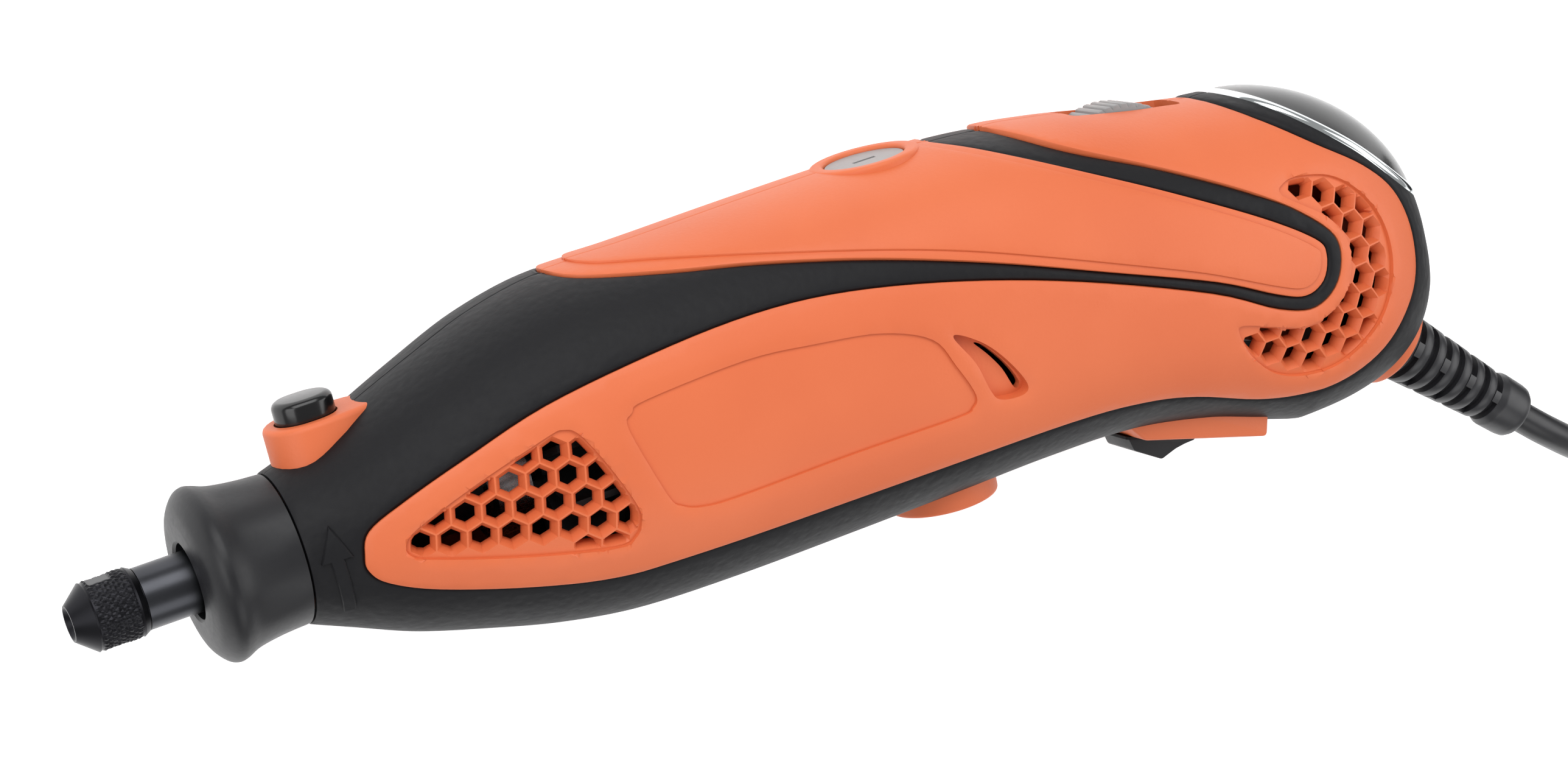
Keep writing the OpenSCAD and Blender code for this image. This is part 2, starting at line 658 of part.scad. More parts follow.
module cooling_fan() {
  blades = 11;
  disc_w = 1.5;
  hub_r = shaft_r + 3;
  color("#d8d5cc") place() on_axis(fan_x) difference() {
    union() {
      cylinder(h = fan_w, r = hub_r, $fn = fine_fn);
      translate([0, 0, fan_w - disc_w]) cylinder(h = disc_w, d = fan_d, $fn = fine_fn);
      for (i = [0:blades - 1]) rotate([0, 0, i * 360 / blades]) translate([hub_r - 1, -0.6, 0])
        cube([fan_d / 2 - hub_r + 0.6, 1.2, fan_w - 1]);
    }
    translate([0, 0, -1]) cylinder(h = fan_w + 2, r = shaft_r + run_fit, $fn = fine_fn);
  }
}

module motor_bearing(x) {
  color("#b9bcc0") place() on_axis(x) bearing(motor_bearing_w, motor_bearing_d / 2, shaft_r + run_fit);
}

module motor_bearing_front() {
  motor_bearing(front_bearing_x);
}

module motor_bearing_rear() {
  motor_bearing(rear_bearing_x);
}

// A part of a ring round the axis, over twice a half angle, round the +Z side of the tool
module arc_block(l, outer_r, inner_r, half_a) {
  rotate([0, 0, 180 - half_a]) rotate_extrude(angle = 2 * half_a, $fn = fine_fn)
    translate([inner_r, 0]) square([outer_r - inner_r, l]);
}

pole_a = 50;

module field_core() {
  color("#6d6f72") place() on_axis(stack_x) difference() {
    tube(stack_l, field_r, field_bore_r);
    for (a = [90, 270]) rotate([0, 0, a]) translate([0, 0, -1])
      arc_block(stack_l + 2, coil_out_r + 0.2, field_bore_r - 1, 90 - pole_a);
  }
}

module field_coil(turn) {
  color("#c2763a") place() on_axis(stack_x - overhang) rotate([0, 0, turn]) difference() {
    arc_block(stack_l + 2 * overhang, coil_out_r, coil_in_r, 86);
    translate([0, 0, overhang - 0.3]) arc_block(stack_l + 0.6, coil_out_r + 1, coil_in_r - 1, pole_a + 1.5);
  }
}

module field_coil_left() {
  field_coil(180);
}

module field_coil_right() {
  field_coil(0);
}

/* Brushes, above and below the commutator */

module brush_holder(side) {
  color("#c9a24a") place() on_brush(side) translate([0, 0, holder_y]) difference() {
    block(brush_w + 0.2 + 2 * holder_wall, brush_h + 0.2 + 2 * holder_wall, holder_end - holder_y);
    translate([0, 0, -1]) block(brush_w + 0.2, brush_h + 0.2, holder_end);
  }
}

module brush(side) {
  color("#2c2c2e") place() difference() {
    on_brush(side) translate([0, 0, brush_end - brush_l]) block(brush_w, brush_h, brush_l);
    on_axis(commutator_x) cylinder(h = commutator_l, r = commutator_r + run_fit, $fn = fine_fn);
  }
}

module brush_spring(side) {
  color("#a8abaf") place() on_brush(side) translate([0, 0, brush_end + 0.1])
    tube(cap_pocket_end - brush_end - 0.2, 2.3, 1.8);
}

module brush_cap(side) {
  color("#8e9194") place() on_brush(side) difference() {
    union() {
      translate([0, 0, cap_top - cap_head_h]) cylinder(h = cap_head_h, d = brush_cap_d, $fn = fine_fn);
      translate([0, 0, thread_start])
        cylinder(h = cap_top - cap_head_h - thread_start + 0.1, d = brush_thread_d, $fn = fine_fn);
    }
    translate([0, 0, thread_start - 1])
      cylinder(h = cap_pocket_end - thread_start + 1, r = 2.8, $fn = fine_fn);
    translate([-2, -0.5, cap_top - 1]) cube([4, 1, 2]);
  }
}

module brush_holder_top() {
  brush_holder(1);
}

module brush_holder_bottom() {
  brush_holder(-1);
}

module brush_top() {
  brush(1);
}

module brush_bottom() {
  brush(-1);
}

module brush_spring_top() {
  brush_spring(1);
}

module brush_spring_bottom() {
  brush_spring(-1);
}

module brush_cap_top() {
  brush_cap(1);
}

module brush_cap_bottom() {
  brush_cap(-1);
}

/* Speed dial and its circuit */

module speed_dial() {
  ridges = 44;
  color("#2e2e30") place() translate([dial_x, dial_y, -dial_w / 2]) linear_extrude(dial_w) difference() {
    polygon([for (i = [0:2 * ridges - 1]) spoke(i * 180 / ridges, dial_d / 2 - (i % 2) * 0.4)]);
    circle(r = dial_shaft_r + seat_fit, $fn = fine_fn);
  }
}

module dial_shaft() {
  color("#c9cacc") place() translate([dial_x, dial_y, pot_top - 1.6])
    cylinder(h = dial_w + 2, r = dial_shaft_r, $fn = fine_fn);
}

module potentiometer() {
  low = board_top + 0.1;
  color("#2b4f8f") place() translate([dial_x, dial_y, low]) difference() {
    cylinder(h = pot_top - low, r = pot_r, $fn = fine_fn);
    translate([0, 0, pot_top - low - 2]) cylinder(h = 3, r = dial_shaft_r + seat_fit, $fn = fine_fn);
  }
}

board_x = dial_x - 13.5;
board_l = 25;
board_y = -17;
board_h = 31;

module control_board() {
  color("#2f6b3f") place() difference() {
    translate([board_x, board_y, board_top - board_t]) cube([board_l, board_h, board_t]);
    for (x = [4, board_l - 4]) translate([board_x + x, board_y + 4, board_top - 2 * board_t])
      cylinder(h = 3 * board_t, d = 3, $fn = fine_fn);
  }
}

module suppressor() {
  color("#c9a227") place() translate([board_x + 9, board_y + 4, board_top + 0.1]) cube([15, 8, 10]);
}

/* Switch */

module switch_slider() {
  color("#1a1a1c") place() on_pad() translate([slider_x, 0, 0]) {
    translate([0, 0, -slider_w / 2]) linear_extrude(slider_w) polygon([
      [0, -slide_fit], [1.2, -2.3], [6.6, -3.9], [9.2, -2.2], [slider_l - 1.8, -1.4], [slider_l, -0.8],
      [slider_l, -slide_fit]
    ]);
    translate([3, -slide_fit - 0.1, -2]) cube([stem_l, switch_y + 2.4, 4]);
  }
}

module switch_body() {
  color("#3b3b3e") place() on_pad() difference() {
    translate([0, switch_y, -switch_w / 2]) cube([switch_l, switch_h, switch_w]);
    translate([slider_x + 3 - slide_fit, switch_y - 1, -2.3])
      cube([stem_l + slider_travel + 2 * slide_fit, 4, 4.6]);
  }
}

/* Badge on the back of the rear head: a chrome ring round a plain gloss field */

badge_from = -0.1;
badge_to = 0.985;
BADGE_WIDTHS = [[-0.1, 3], [-0.04, 6], [0.1, 7.4], [0.3, 8], [0.55, 8], [0.7, 7.6], [0.82, 6.8], [0.91, 5.6],
  [0.985, 2.4]];

// A point of the badge: t along the back of the head, c across from -1 to 1, on the body grown by g
function badge_point(t, c, g, inset) =
  let (x = head_x + (t > 0 ? end_x + g - head_x : head_l) * t, s = ring_sizes(x, g, t))
  let (z = c * max(0.5, lookup(t, BADGE_WIDTHS) - inset), mid = (s[0] + s[1]) / 2)
  [x, mid + (s[0] - mid) * pow(1 - pow(abs(z) / s[2], s[3]), 1 / s[3]), z];

// A plate between two heights over the body
module badge_plate(low, high, inset) {
  from = badge_from + inset / head_l;
  to = badge_to - inset / 100;
  rows = concat([from], [for (w = BADGE_WIDTHS) if (w[0] > from && w[0] < to) w[0]], [to]);
  row = [-1, -0.5, 0, 0.5, 1];
  rings = [for (t = rows) concat([for (c = row) badge_point(t, c, high, inset)],
    [for (c = row) badge_point(t, -c, low, inset)])];
  ends = [for (r = [rings[0], rings[len(rings) - 1]]) (r[2] + r[7]) / 2];
  polyhedron(concat([for (r = rings) each r], ends), tube_faces(len(rings), 10), convexity = 4);
}

module badge_trim() {
  color("#d9dce0") place() difference() {
    badge_plate(-grip_t + mould_fit, 1.3, 0);
    badge_plate(-grip_t - 1, 3, 1.6);
  }
}

module badge_insert() {
  color("#0e0e10") place() badge_plate(-grip_t + mould_fit, 0.9, 1.6 + slide_fit);
}

/* Strain relief and cord clamp */

module strain_relief() {
  base_r = relief_base_d / 2;
  tip_r = relief_tip_d / 2;
  rows = 6;
  step = (relief_l - 5.5) / rows;
  bore_r = cord_d / 2 + seat_fit;
  groove = 1.3;
  color("#18181a") place() on_relief() difference() {
    rotate_extrude($fn = fine_fn) polygon([
      [bore_r, -7], [relief_flange_r, -7], [relief_flange_r, -4], [neck_r, -4], [neck_r, 0.1],
      [base_r, 0.1], [tip_r, relief_l - 0.8], [relief_end_r, relief_l], [bore_r, relief_l]
    ]);
    for (i = [0:rows - 1]) for (s = [0, 180]) let (z = 2.6 + i * step)
      rotate([0, 0, 15 + s + (i % 2) * 90]) translate([0, 0, z]) rotate_extrude(angle = 150, $fn = fine_fn)
        translate([mix(base_r, tip_r, z / relief_l) - groove, 0]) square([2 * groove, step * 0.42]);
  }
}

module cord_clamp() {
  color("#2b2b2d") place() on_relief() translate([0, 0, -20]) difference() {
    translate([0.2, -9, 0]) cube([6.2, 18, clamp_l]);
    translate([0, 0, -1]) cylinder(h = clamp_l + 2, r = cord_d / 2 + seat_fit, $fn = fine_fn);
  }
}

/* Screws */

module screw(i) {
  color("#8f9296") place() translate(concat(screw_place(i), [screw_head_z])) difference() {
    union() {
      translate([0, 0, -2]) cylinder(h = 2, r = screw_head_r, $fn = fine_fn);
      cylinder(h = screw_tip_z - screw_head_z, r = screw_r, $fn = fine_fn);
    }
    for (a = [0, 90]) rotate([0, 0, a]) translate([-1.6, -0.35, -3]) cube([3.2, 0.7, 2]);
  }
}

module screw_1() {
  screw(0);
}

module screw_2() {
  screw(1);
}

module screw_3() {
  screw(2);
}

module screw_4() {
  screw(3);
}

module screw_5() {
  screw(4);
}

module screw_6() {
  screw(5);
}

module screw_7() {
  screw(6);
}

/* Housing shells */

// The block of the lock button, which runs out in a tail, grown by g
module lock_boss(g) {
  on_lock(5) oval(button_l + 2 * boss_rim + 2 * g, button_w + 2 * boss_rim + 2 * g, boss_top - 5 + 10 * g);
  hull() {
    on_lock(5) oval(button_l + boss_rim, button_w + 2 * boss_rim + 2 * g, boss_top - 5 + 10 * g);
    on_lock(5) translate([10, 0, 0]) cylinder(h = boss_top - 5.6 + 10 * g, r = 0.6 + g, $fn = 12);
  }
}

// The pad that carries the switch slider
module switch_pad() {
  on_pad() hull() {
    translate([1.6, 0, -pad_w / 2]) cube([pad_l - 1.6, 8, pad_w]);
    translate([-2.4, 3, -pad_w / 2]) cube([pad_l + 2.4, 5, pad_w]);
  }
}

module brush_post(from, to, r) {
  for (s = [-1, 1]) on_brush(s) translate([0, 0, from]) cylinder(h = to - from, r = r, $fn = 1.5 * shell_fn);
}

// A cradle between the two walls
module cradle(x, w, h) {
  translate([x, -h / 2, -50]) cube([w, h, 100]);
}

rib = 2.4;

module inner_ribs() {
  intersection() {
    inside_body(-wall + 0.5);
    union() {
      cradle(flange_x - 2, flange_w + 4, 2 * flange_r + 4);
      for (x = [front_bearing_x, rear_bearing_x]) cradle(x - 1.2, motor_bearing_w + 2.4, motor_bearing_d + 4);
      for (x = [stack_x + 3, stack_x + stack_l - 3 - rib]) cradle(x, rib, field_r + 4);
      brush_post(holder_y + 4, 60, brush_boss_d / 2);
      for (i = [0:len(SCREWS) - 1]) translate(concat(screw_place(i), [-50]))
        cylinder(h = 100, r = screw_boss_r, $fn = post_fn);
      on_pad() translate([-1.6, 0, -9.6]) cube([25.2, 14, 19.2]);
      on_relief() translate([0, 0, -9]) cylinder(h = 9, r = relief_flange_r + 2.4, $fn = shell_fn);
      on_relief() translate([-14, -9, -20]) cube([14, 18, clamp_l]);
      for (x = [2, board_l - 5]) translate([board_x + x, -12, -50])
        cube([3, 20, 50 + board_top - board_t - 0.1]);
    }
  }
}

// A bore whose flats clear a round piece of radius r
module bore(h, r, sides = shell_fn) {
  cylinder(h = h, r = r / cos(180 / sides), $fn = sides);
}

module inner_bores() {
  on_axis(joint_x - 1) bore(23, carrier_r + seat_fit);
  on_axis(flange_x - 0.1) bore(flange_w + 0.2, flange_r + seat_fit);
  for (x = [front_bearing_x, rear_bearing_x])
    on_axis(x - 0.1) bore(motor_bearing_w + 0.2, motor_bearing_d / 2 + seat_fit);
  on_axis(front_bearing_x - 2) bore(motor_bearing_w + 4, coupler_r + 0.8);
  on_axis(rear_bearing_x - 2) bore(motor_bearing_w + 4, shaft_r + 1.5);
  on_axis(stack_x) bore(stack_l, field_r + seat_fit);
  on_axis(commutator_x - 2) bore(commutator_l + 4, commutator_r + 3);
  for (s = [-1, 1]) on_brush(s) {
    block(brush_w + 0.4 + 2 * holder_wall, brush_h + 0.4 + 2 * holder_wall, holder_end + 0.1);
    translate([0, 0, holder_end]) bore(20, brush_thread_d / 2 + mould_fit);
    translate([0, 0, cap_top - cap_head_h - 0.2]) bore(20, brush_cap_d / 2 + mould_fit);
  }
  on_lock(button_floor) oval(button_l + 2 * slide_fit, button_w + 2 * slide_fit, 20);
  on_lock(4) cylinder(h = 20, r = lock_bore_r, $fn = shell_fn);
  translate([dial_x, dial_y, -dial_w / 2 - 0.5]) {
    bore(dial_w + 1, dial_d / 2 + slide_fit);
    translate([0, -6, 0]) cube([dial_d / 2, 20, dial_w + 1]);
  }
  on_pad() {
    translate([-0.1, switch_y - 0.1, -switch_w / 2 - 0.1]) cube([switch_l + 0.2, 20, switch_w + 0.2]);
    translate([slider_x + 3 - slide_fit, -2, -2.3]) cube([stem_l + slider_travel + 2 * slide_fit, 10, 4.6]);
  }
  on_relief() {
    translate([0, 0, -9.5]) bore(12, neck_r + seat_fit);
    translate([0, 0, -7.1]) bore(3.2, relief_flange_r + seat_fit);
    translate([0, 0, -21]) bore(12, cord_d / 2 + mould_fit);
  }
}

// Both halves of the housing in one, hard panels included
module housing_solid() {
  difference() {
    union() {
      difference() {
        union() {
          body(-grip_t - 0.05);
          intersection() {
            body(panel_rise);
            translate([0, 0, -50]) linear_extrude(100) side_panel();
          }
          intersection() {
            body(upper_rise);
            translate([0, 0, -50]) linear_extrude(100) upper_panel();
          }
          brush_post(brush_boss_h - 6, brush_boss_h, brush_boss_d / 2);
          lock_boss(0);
          switch_pad();
          on_relief() translate([0, 0, -9]) cylinder(h = 9, r = gland_r, $fn = shell_fn);
        }
        inside_body(-wall);
      }
      inner_ribs();
    }
    inner_bores();
    badge_plate(-grip_t, 6, -mould_fit);
  }
}

// Fields of one depth under outlines
module fields(outlines, depth) {
  difference() {
    linear_extrude(half_w + 2) for (o = outlines) polygon(o);
    body(panel_rise - depth);
  }
}

// One half, drawn on the +Z side
module housing_half(side) {
  difference() {
    intersection() {
      mirror([0, 0, side > 0 ? 0 : 1]) housing_solid();
      translate([0, -100, 0.02]) cube([400, 200, 60]);
    }
    if (side < 0) on_relief() translate([-14, -9.1, -20.1]) cube([14, 18.2, clamp_l + 0.2]);
    vent_cuts(front_outline, [along(59), across(-4)], -10.5);
    vent_cuts(rear_outline, [along(206.1), across(-19.2)], -30);
    fields([front_outline, rear_outline], panel_rise + vent_depth);
    fields([label_outline], label_depth);
    translate([0, 0, half_w + panel_rise - fang_depth]) linear_extrude(fang_depth + 1) polygon(laid(FANG));
  }
}

module housing_right() {
  color("#f0794f") place() render() difference() {
    housing_half(1);
    for (i = [0:len(SCREWS) - 1]) translate(concat(screw_place(i), [-1]))
      bore(screw_tip_z + 2, screw_r + seat_fit, post_fn);
  }
}

module housing_left() {
  color("#f0794f") place() render() mirror([0, 0, 1]) difference() {
    housing_half(-1);
    for (i = [0:len(SCREWS) - 1]) translate(screw_place(i)) {
      translate([0, 0, -1]) bore(40, screw_r + seat_fit, post_fn);
      translate([0, 0, -screw_head_z - 0.1]) bore(40, screw_head_r + mould_fit, post_fn);
    }
  }
}

/* Soft grip: two skins that fill the sunk parts of the shells */

module grip_solid() {
  difference() {
    union() {
      body(0);
      intersection() {
        body(0.35);
        linear_extrude(60) polygon(laid(ARROW));
      }
    }
    body(-grip_t);
    linear_extrude(160, center = true) offset(delta = mould_fit) side_panel();
    linear_extrude(160, center = true) offset(delta = mould_fit) upper_panel();
    brush_post(0, 60, brush_boss_d / 2 + mould_fit);
    lock_boss(mould_fit);
    on_pad() translate([-2.6, -20, -pad_w / 2 - mould_fit]) cube([pad_l + 2.8, 40, pad_w + 2 * mould_fit]);
    on_relief() translate([0, 0, -20]) cylinder(h = 40, r = gland_r + mould_fit, $fn = shell_fn);
    badge_plate(-grip_t - 1, 6, -mould_fit);
  }
}

module grip_half(side) {
  intersection() {
    mirror([0, 0, side > 0 ? 0 : 1]) grip_solid();
    translate([0, -100, 0.02]) cube([400, 200, 60]);
  }
}

module grip_right() {
  color("#2a2b2d") place() render() grip_half(1);
}

module grip_left() {
  color("#2a2b2d") place() render() mirror([0, 0, 1]) difference() {
    grip_half(-1);
    for (i = [0:len(SCREWS) - 1]) translate(screw_place(i)) bore(40, screw_head_r + mould_fit, post_fn);
  }
}

/* Mains cord: it leaves the relief, sinks to the ground and lies there in a coil */

cord_r = cord_d / 2;
tie_t = 1;
floor_z = cord_r - rest_z;
coil_z = floor_z + tie_t + 0.1;

// Places that the cord passes from the strain relief to the coil, and the middle of the coil
ROUTE = [[262, -57.6, -1], [272, -64.6, -5], [286, -70.8, -13], [301, -74.6, -19.6], [316, -75.6, -21.5],
  [331, -74.2, -21.4], [345, -70.2, -20.8]];
coil_mid = [341, -30];
coil_from = -60;

function unit(v) = v / norm(v);
function heading(p, i) = unit(p[min(len(p) - 1, i + 1)] - p[max(0, i - 1)]);
function loop_at(c, dir, r, sides) =
  let (side = unit(cross([0, 0, 1], dir)), up = cross(dir, side))
  [for (j = [0:sides - 1]) let (a = 360 * (j + 0.5) / sides) c + r * (cos(a) * side + sin(a) * up)];

// A tube along points, with flat ends
module sweep(p, r, sides) {
  points = [for (i = [0:len(p) - 1]) each loop_at(p[i], heading(p, i), r, sides)];
  polyhedron(concat(points, [p[0], p[len(p) - 1]]), tube_faces(len(p), sides), convexity = 10);
}

// The coil has four layers. Each spirals in or out over layer_turns, then climbs in half a turn.
layer_turns = 1.625;
loop_rings = 24;
layer_rings = layer_turns * loop_rings;
climb_rings = loop_rings / 2;
stage = layer_rings + climb_rings;
coil_steps = 4 * layer_rings + 3 * climb_rings;
coil_pitch = cord_d + coil_gap;
swing = layer_turns * coil_pitch / 2;

// Place in a stage: how far the radius has swung and how far the tube has climbed, both from 0 to 1
function swung(i) = let (k = i % stage) k <= layer_rings ? k / layer_rings
  : 1 + (k < layer_rings + climb_rings / 2 ? k - layer_rings : stage - k) / layer_rings;
function climbed(i) = let (t = max(0, (i % stage - layer_rings) / climb_rings)) 3 * t * t - 2 * t * t * t;
function coil_point(i) =
  let (level = floor(i / stage), r = coil_r + (level % 2 == 0 ? 1 : -1) * swing * (1 - 2 * swung(i)))
  let (a = coil_from + 360 * i / loop_rings)
  [coil_mid[0] + r * cos(a), coil_mid[1] + r * sin(a), coil_z + coil_pitch * (level + climbed(i))];
coil_wound = [for (i = [0:coil_steps]) coil_point(i)];
coil_start = coil_wound[0];
coil_dir = [-sin(coil_from), cos(coil_from), 0];
coil_path = concat([coil_start - cord_d * coil_dir], coil_wound,
  [coil_wound[coil_steps] + cord_d * coil_dir]);
coil_end = coil_path[len(coil_path) - 1];

// Least gap of the coil to itself, between points at least a third of a turn apart
coil_least_gap = min([for (i = [0:len(coil_path) - 9]) for (j = [i + 8:len(coil_path) - 1])
  norm(coil_path[i] - coil_path[j])]) - cord_d;
function total(v) = v * [for (i = v) 1];
function run_length(p) = total([for (i = [1:len(p) - 1]) norm(p[i] - p[i - 1])]);

relief_tip_3d = concat(relief_tip, [0]);
relief_dir_3d = concat(relief_dir, [0]);

// The stretch from inside the clamp, through the relief, to the coil
cord_path = concat(
  [for (s = [-23, -14, -5, 5, 14, 22]) relief_tip_3d + (s - relief_l) * relief_dir_3d],
  smooth(concat([relief_tip_3d], ROUTE, [coil_start - 2 * cord_d * coil_dir])),
  [coil_start - cord_d * coil_dir]
);

module power_cord() {
  color("#161618") place() sweep(cord_path, cord_r, 8);
}

module cord_coil() {
  color("#161618") place() sweep(coil_path, cord_r, 6);
}

// The last stretch sinks from the top of the coil to the plug, which lies beside it
plug_t = 13.6;
plug_joint = [402.4, -25, plug_t / 2 - rest_z];
plug_turn = 70;
plug_dir = [cos(plug_turn), sin(plug_turn), 0];
TAIL = [[377, -56, -4.4], [388, -48.4, -10.4], [397, -38, -15.4]];
tail_path = concat(
  [coil_end],
  smooth(concat([coil_end + cord_d * coil_dir], TAIL, [plug_joint - cord_d * plug_dir])),
  [plug_joint]
);
echo(coil_least_gap = coil_least_gap);
echo(cord_length = run_length(cord_path) + run_length(coil_path) + run_length(tail_path));

module cord_tail() {
  color("#161618") place() sweep(tail_path, cord_r, 8);
}

// A band round the whole bundle, where no turn climbs
module cord_tie() {
  tie_turn = 120;
  bundle_w = 2 * swing + cord_d + 0.8;
  bundle_h = 3 * coil_pitch + cord_d + 0.2;
  color("#0f0f10") place() translate([coil_mid[0], coil_mid[1], -rest_z]) rotate([0, 0, tie_turn])
    translate([coil_r - 0.2, 0, 0]) difference() {
      block(bundle_w + 2 * tie_t, 10, bundle_h + 2 * tie_t);
      translate([0, 0, tie_t]) block(bundle_w, 12, bundle_h);
    }
}

// Frame of the plug: X out along the pins, zero where the cord enters
module on_plug() {
  translate(plug_joint) rotate([0, 0, plug_turn]) children();
}

plug_l = 36;
pin_gap = 18.6;
pin_r = 2;
pin_l = 18;
pin_root_r = 1.8;
pin_depth = 6;

module plug_body() {
  outline = [[0.1, -4.6], [12, -5.4], [23, -17.6], [plug_l, -17.6], [plug_l, 17.6], [23, 17.6], [12, 5.4],
    [0.1, 4.6]];
  color("#161618") place() on_plug() difference() {
    hull() {
      translate([0, 0, -3]) linear_extrude(6) polygon(outline);
      translate([0, 0, -plug_t / 2]) linear_extrude(plug_t) offset(delta = -3) polygon(outline);
    }
    for (s = [-1, 1]) translate([plug_l - pin_depth, s * pin_gap / 2, 0]) rotate([0, 90, 0])
      cylinder(h = pin_depth + 1, r = pin_root_r + seat_fit, $fn = shell_fn);
  }
}

module plug_pins() {
  color("#c9cacc") place() on_plug() for (s = [-1, 1])
    translate([plug_l - pin_depth + 0.1, s * pin_gap / 2, 0]) rotate([0, 90, 0]) rotate_extrude($fn = fine_fn)
      polygon([
        [0, 0], [pin_root_r, 0], [pin_root_r, pin_depth], [pin_r, pin_depth],
        [pin_r, pin_depth + pin_l], [pin_r - 1, pin_depth + pin_l + 1], [0, pin_depth + pin_l + 1]
      ]);
}

collet_nut();
collet();
spindle();
spindle_bearing_front();
spindle_bearing_rear();
bearing_carrier();
nose_cap();
housing_left();
housing_right();
grip_left();
grip_right();
lock_button();
lock_pin();
lock_spring();
drive_coupler();
motor_shaft();
armature_core();
armature_windings();
commutator();
cooling_fan();
motor_bearing_front();
motor_bearing_rear();
field_core();
field_coil_left();
field_coil_right();
brush_holder_top();
brush_holder_bottom();
brush_top();
brush_bottom();
brush_spring_top();
brush_spring_bottom();
brush_cap_top();
brush_cap_bottom();
speed_dial();
dial_shaft();
potentiometer();
control_board();
suppressor();
switch_slider();
switch_body();
badge_trim();
badge_insert();
strain_relief();
cord_clamp();
screw_1();
screw_2();
screw_3();
screw_4();
screw_5();
screw_6();
screw_7();
power_cord();
cord_coil();
cord_tail();
cord_tie();
plug_body();
plug_pins();
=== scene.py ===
import math

import bmesh
import bpy
import numpy as np
from mathutils import Matrix, Vector
from mathutils.geometry import delaunay_2d_cdt
from mathutils.kdtree import KDTree


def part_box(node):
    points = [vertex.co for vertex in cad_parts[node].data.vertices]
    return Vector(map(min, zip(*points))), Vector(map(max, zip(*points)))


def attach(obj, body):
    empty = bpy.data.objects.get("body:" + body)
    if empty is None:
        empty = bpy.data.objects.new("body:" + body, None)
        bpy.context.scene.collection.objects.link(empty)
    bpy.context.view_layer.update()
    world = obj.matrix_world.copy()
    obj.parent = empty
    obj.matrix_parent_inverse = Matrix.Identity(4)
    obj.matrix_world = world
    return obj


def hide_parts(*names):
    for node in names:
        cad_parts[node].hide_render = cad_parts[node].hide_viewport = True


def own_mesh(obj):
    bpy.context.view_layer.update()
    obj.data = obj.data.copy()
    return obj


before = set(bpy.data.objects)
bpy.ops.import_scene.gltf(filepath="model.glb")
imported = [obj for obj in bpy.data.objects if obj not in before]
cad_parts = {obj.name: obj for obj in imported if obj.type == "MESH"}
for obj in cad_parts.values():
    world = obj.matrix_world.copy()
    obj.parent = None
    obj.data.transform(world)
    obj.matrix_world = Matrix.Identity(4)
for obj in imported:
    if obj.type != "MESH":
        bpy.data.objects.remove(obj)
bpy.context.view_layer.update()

# Camera: it looks down on the tool, which lies on its side, from over the lock button's side.
# Places on the tool are counted in millimetres from the tip of the collet nut, on the spindle's axis.
nut_low, nut_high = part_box("collet_nut")
nut_tip = Vector((nut_low.x, (nut_low.y + nut_high.y) / 2, (nut_low.z + nut_high.z) / 2))
tool_frame = Matrix.Translation(nut_tip) @ Matrix.Scale(0.001, 4)


def on_tool(point):
    return tool_frame @ Vector(point)


camera = bpy.data.objects.new("camera", bpy.data.cameras.new("camera"))
bpy.context.scene.collection.objects.link(camera)
sight = Matrix(((0.87673, -0.23149, 0.42161), (0.31059, 0.94178, -0.12876), (-0.36725, 0.24384, 0.89759)))
camera.matrix_world = Matrix.Translation(on_tool((-101.8, 145.37, 543.61))) @ sight.transposed().to_4x4()
camera.data.sensor_width = 36
camera.data.lens = 86.6
camera.data.clip_start, camera.data.clip_end = 0.01, 20
bpy.context.scene.camera = camera


# Ground: a plain white board. It shows pure white to the camera and in reflections, under the soft
# shadow that the tool throws on it.
def linear(colour):
    parts = [int(colour[i:i + 2], 16) / 255 for i in (1, 3, 5)]
    return (*[c / 12.92 if c <= 0.04045 else ((c + 0.055) / 1.055) ** 2.4 for c in parts], 1)


def node(tree, kind, inputs=None, **settings):
    made = tree.nodes.new("ShaderNode" + kind)
    for name, value in settings.items():
        setattr(made, name, value)
    for name, value in (inputs or {}).items():
        if isinstance(value, bpy.types.NodeSocket):
            tree.links.new(value, made.inputs[name])
        else:
            made.inputs[name].default_value = value
    return made


def empty_material(name):
    material = bpy.data.materials.new(name)
    material.use_nodes = True
    material.node_tree.nodes.clear()
    return material, material.node_tree


board, tree = empty_material("white board")
rays = node(tree, "LightPath")
camera_ray, glossy, through = (rays.outputs[f"Is {kind} Ray"] for kind in ("Camera", "Glossy", "Transmission"))
seen = node(tree, "Math", {0: camera_ray, 1: glossy}, operation="MAXIMUM")
seen = node(tree, "Math", {0: seen.outputs[0], 1: through}, operation="MAXIMUM")
lift = node(tree, "Math", {0: seen.outputs[0], 1: 0.5}, operation="MULTIPLY")
paper = node(tree, "BsdfDiffuse", {"Color": linear("#f4f4f4")})
glow = node(tree, "Emission", {"Color": linear("#ffffff"), "Strength": lift.outputs[0]})
both = node(tree, "AddShader", {0: paper.outputs[0], 1: glow.outputs[0]})
node(tree, "OutputMaterial", {"Surface": both.outputs[0]})
sheet = bmesh.new()
bmesh.ops.create_grid(sheet, x_segments=1, y_segments=1, size=3)
mesh = bpy.data.meshes.new("ground")
sheet.to_mesh(mesh)
ground = bpy.data.objects.new("ground", mesh)
ground.data.materials.append(board)
bpy.context.scene.collection.objects.link(ground)

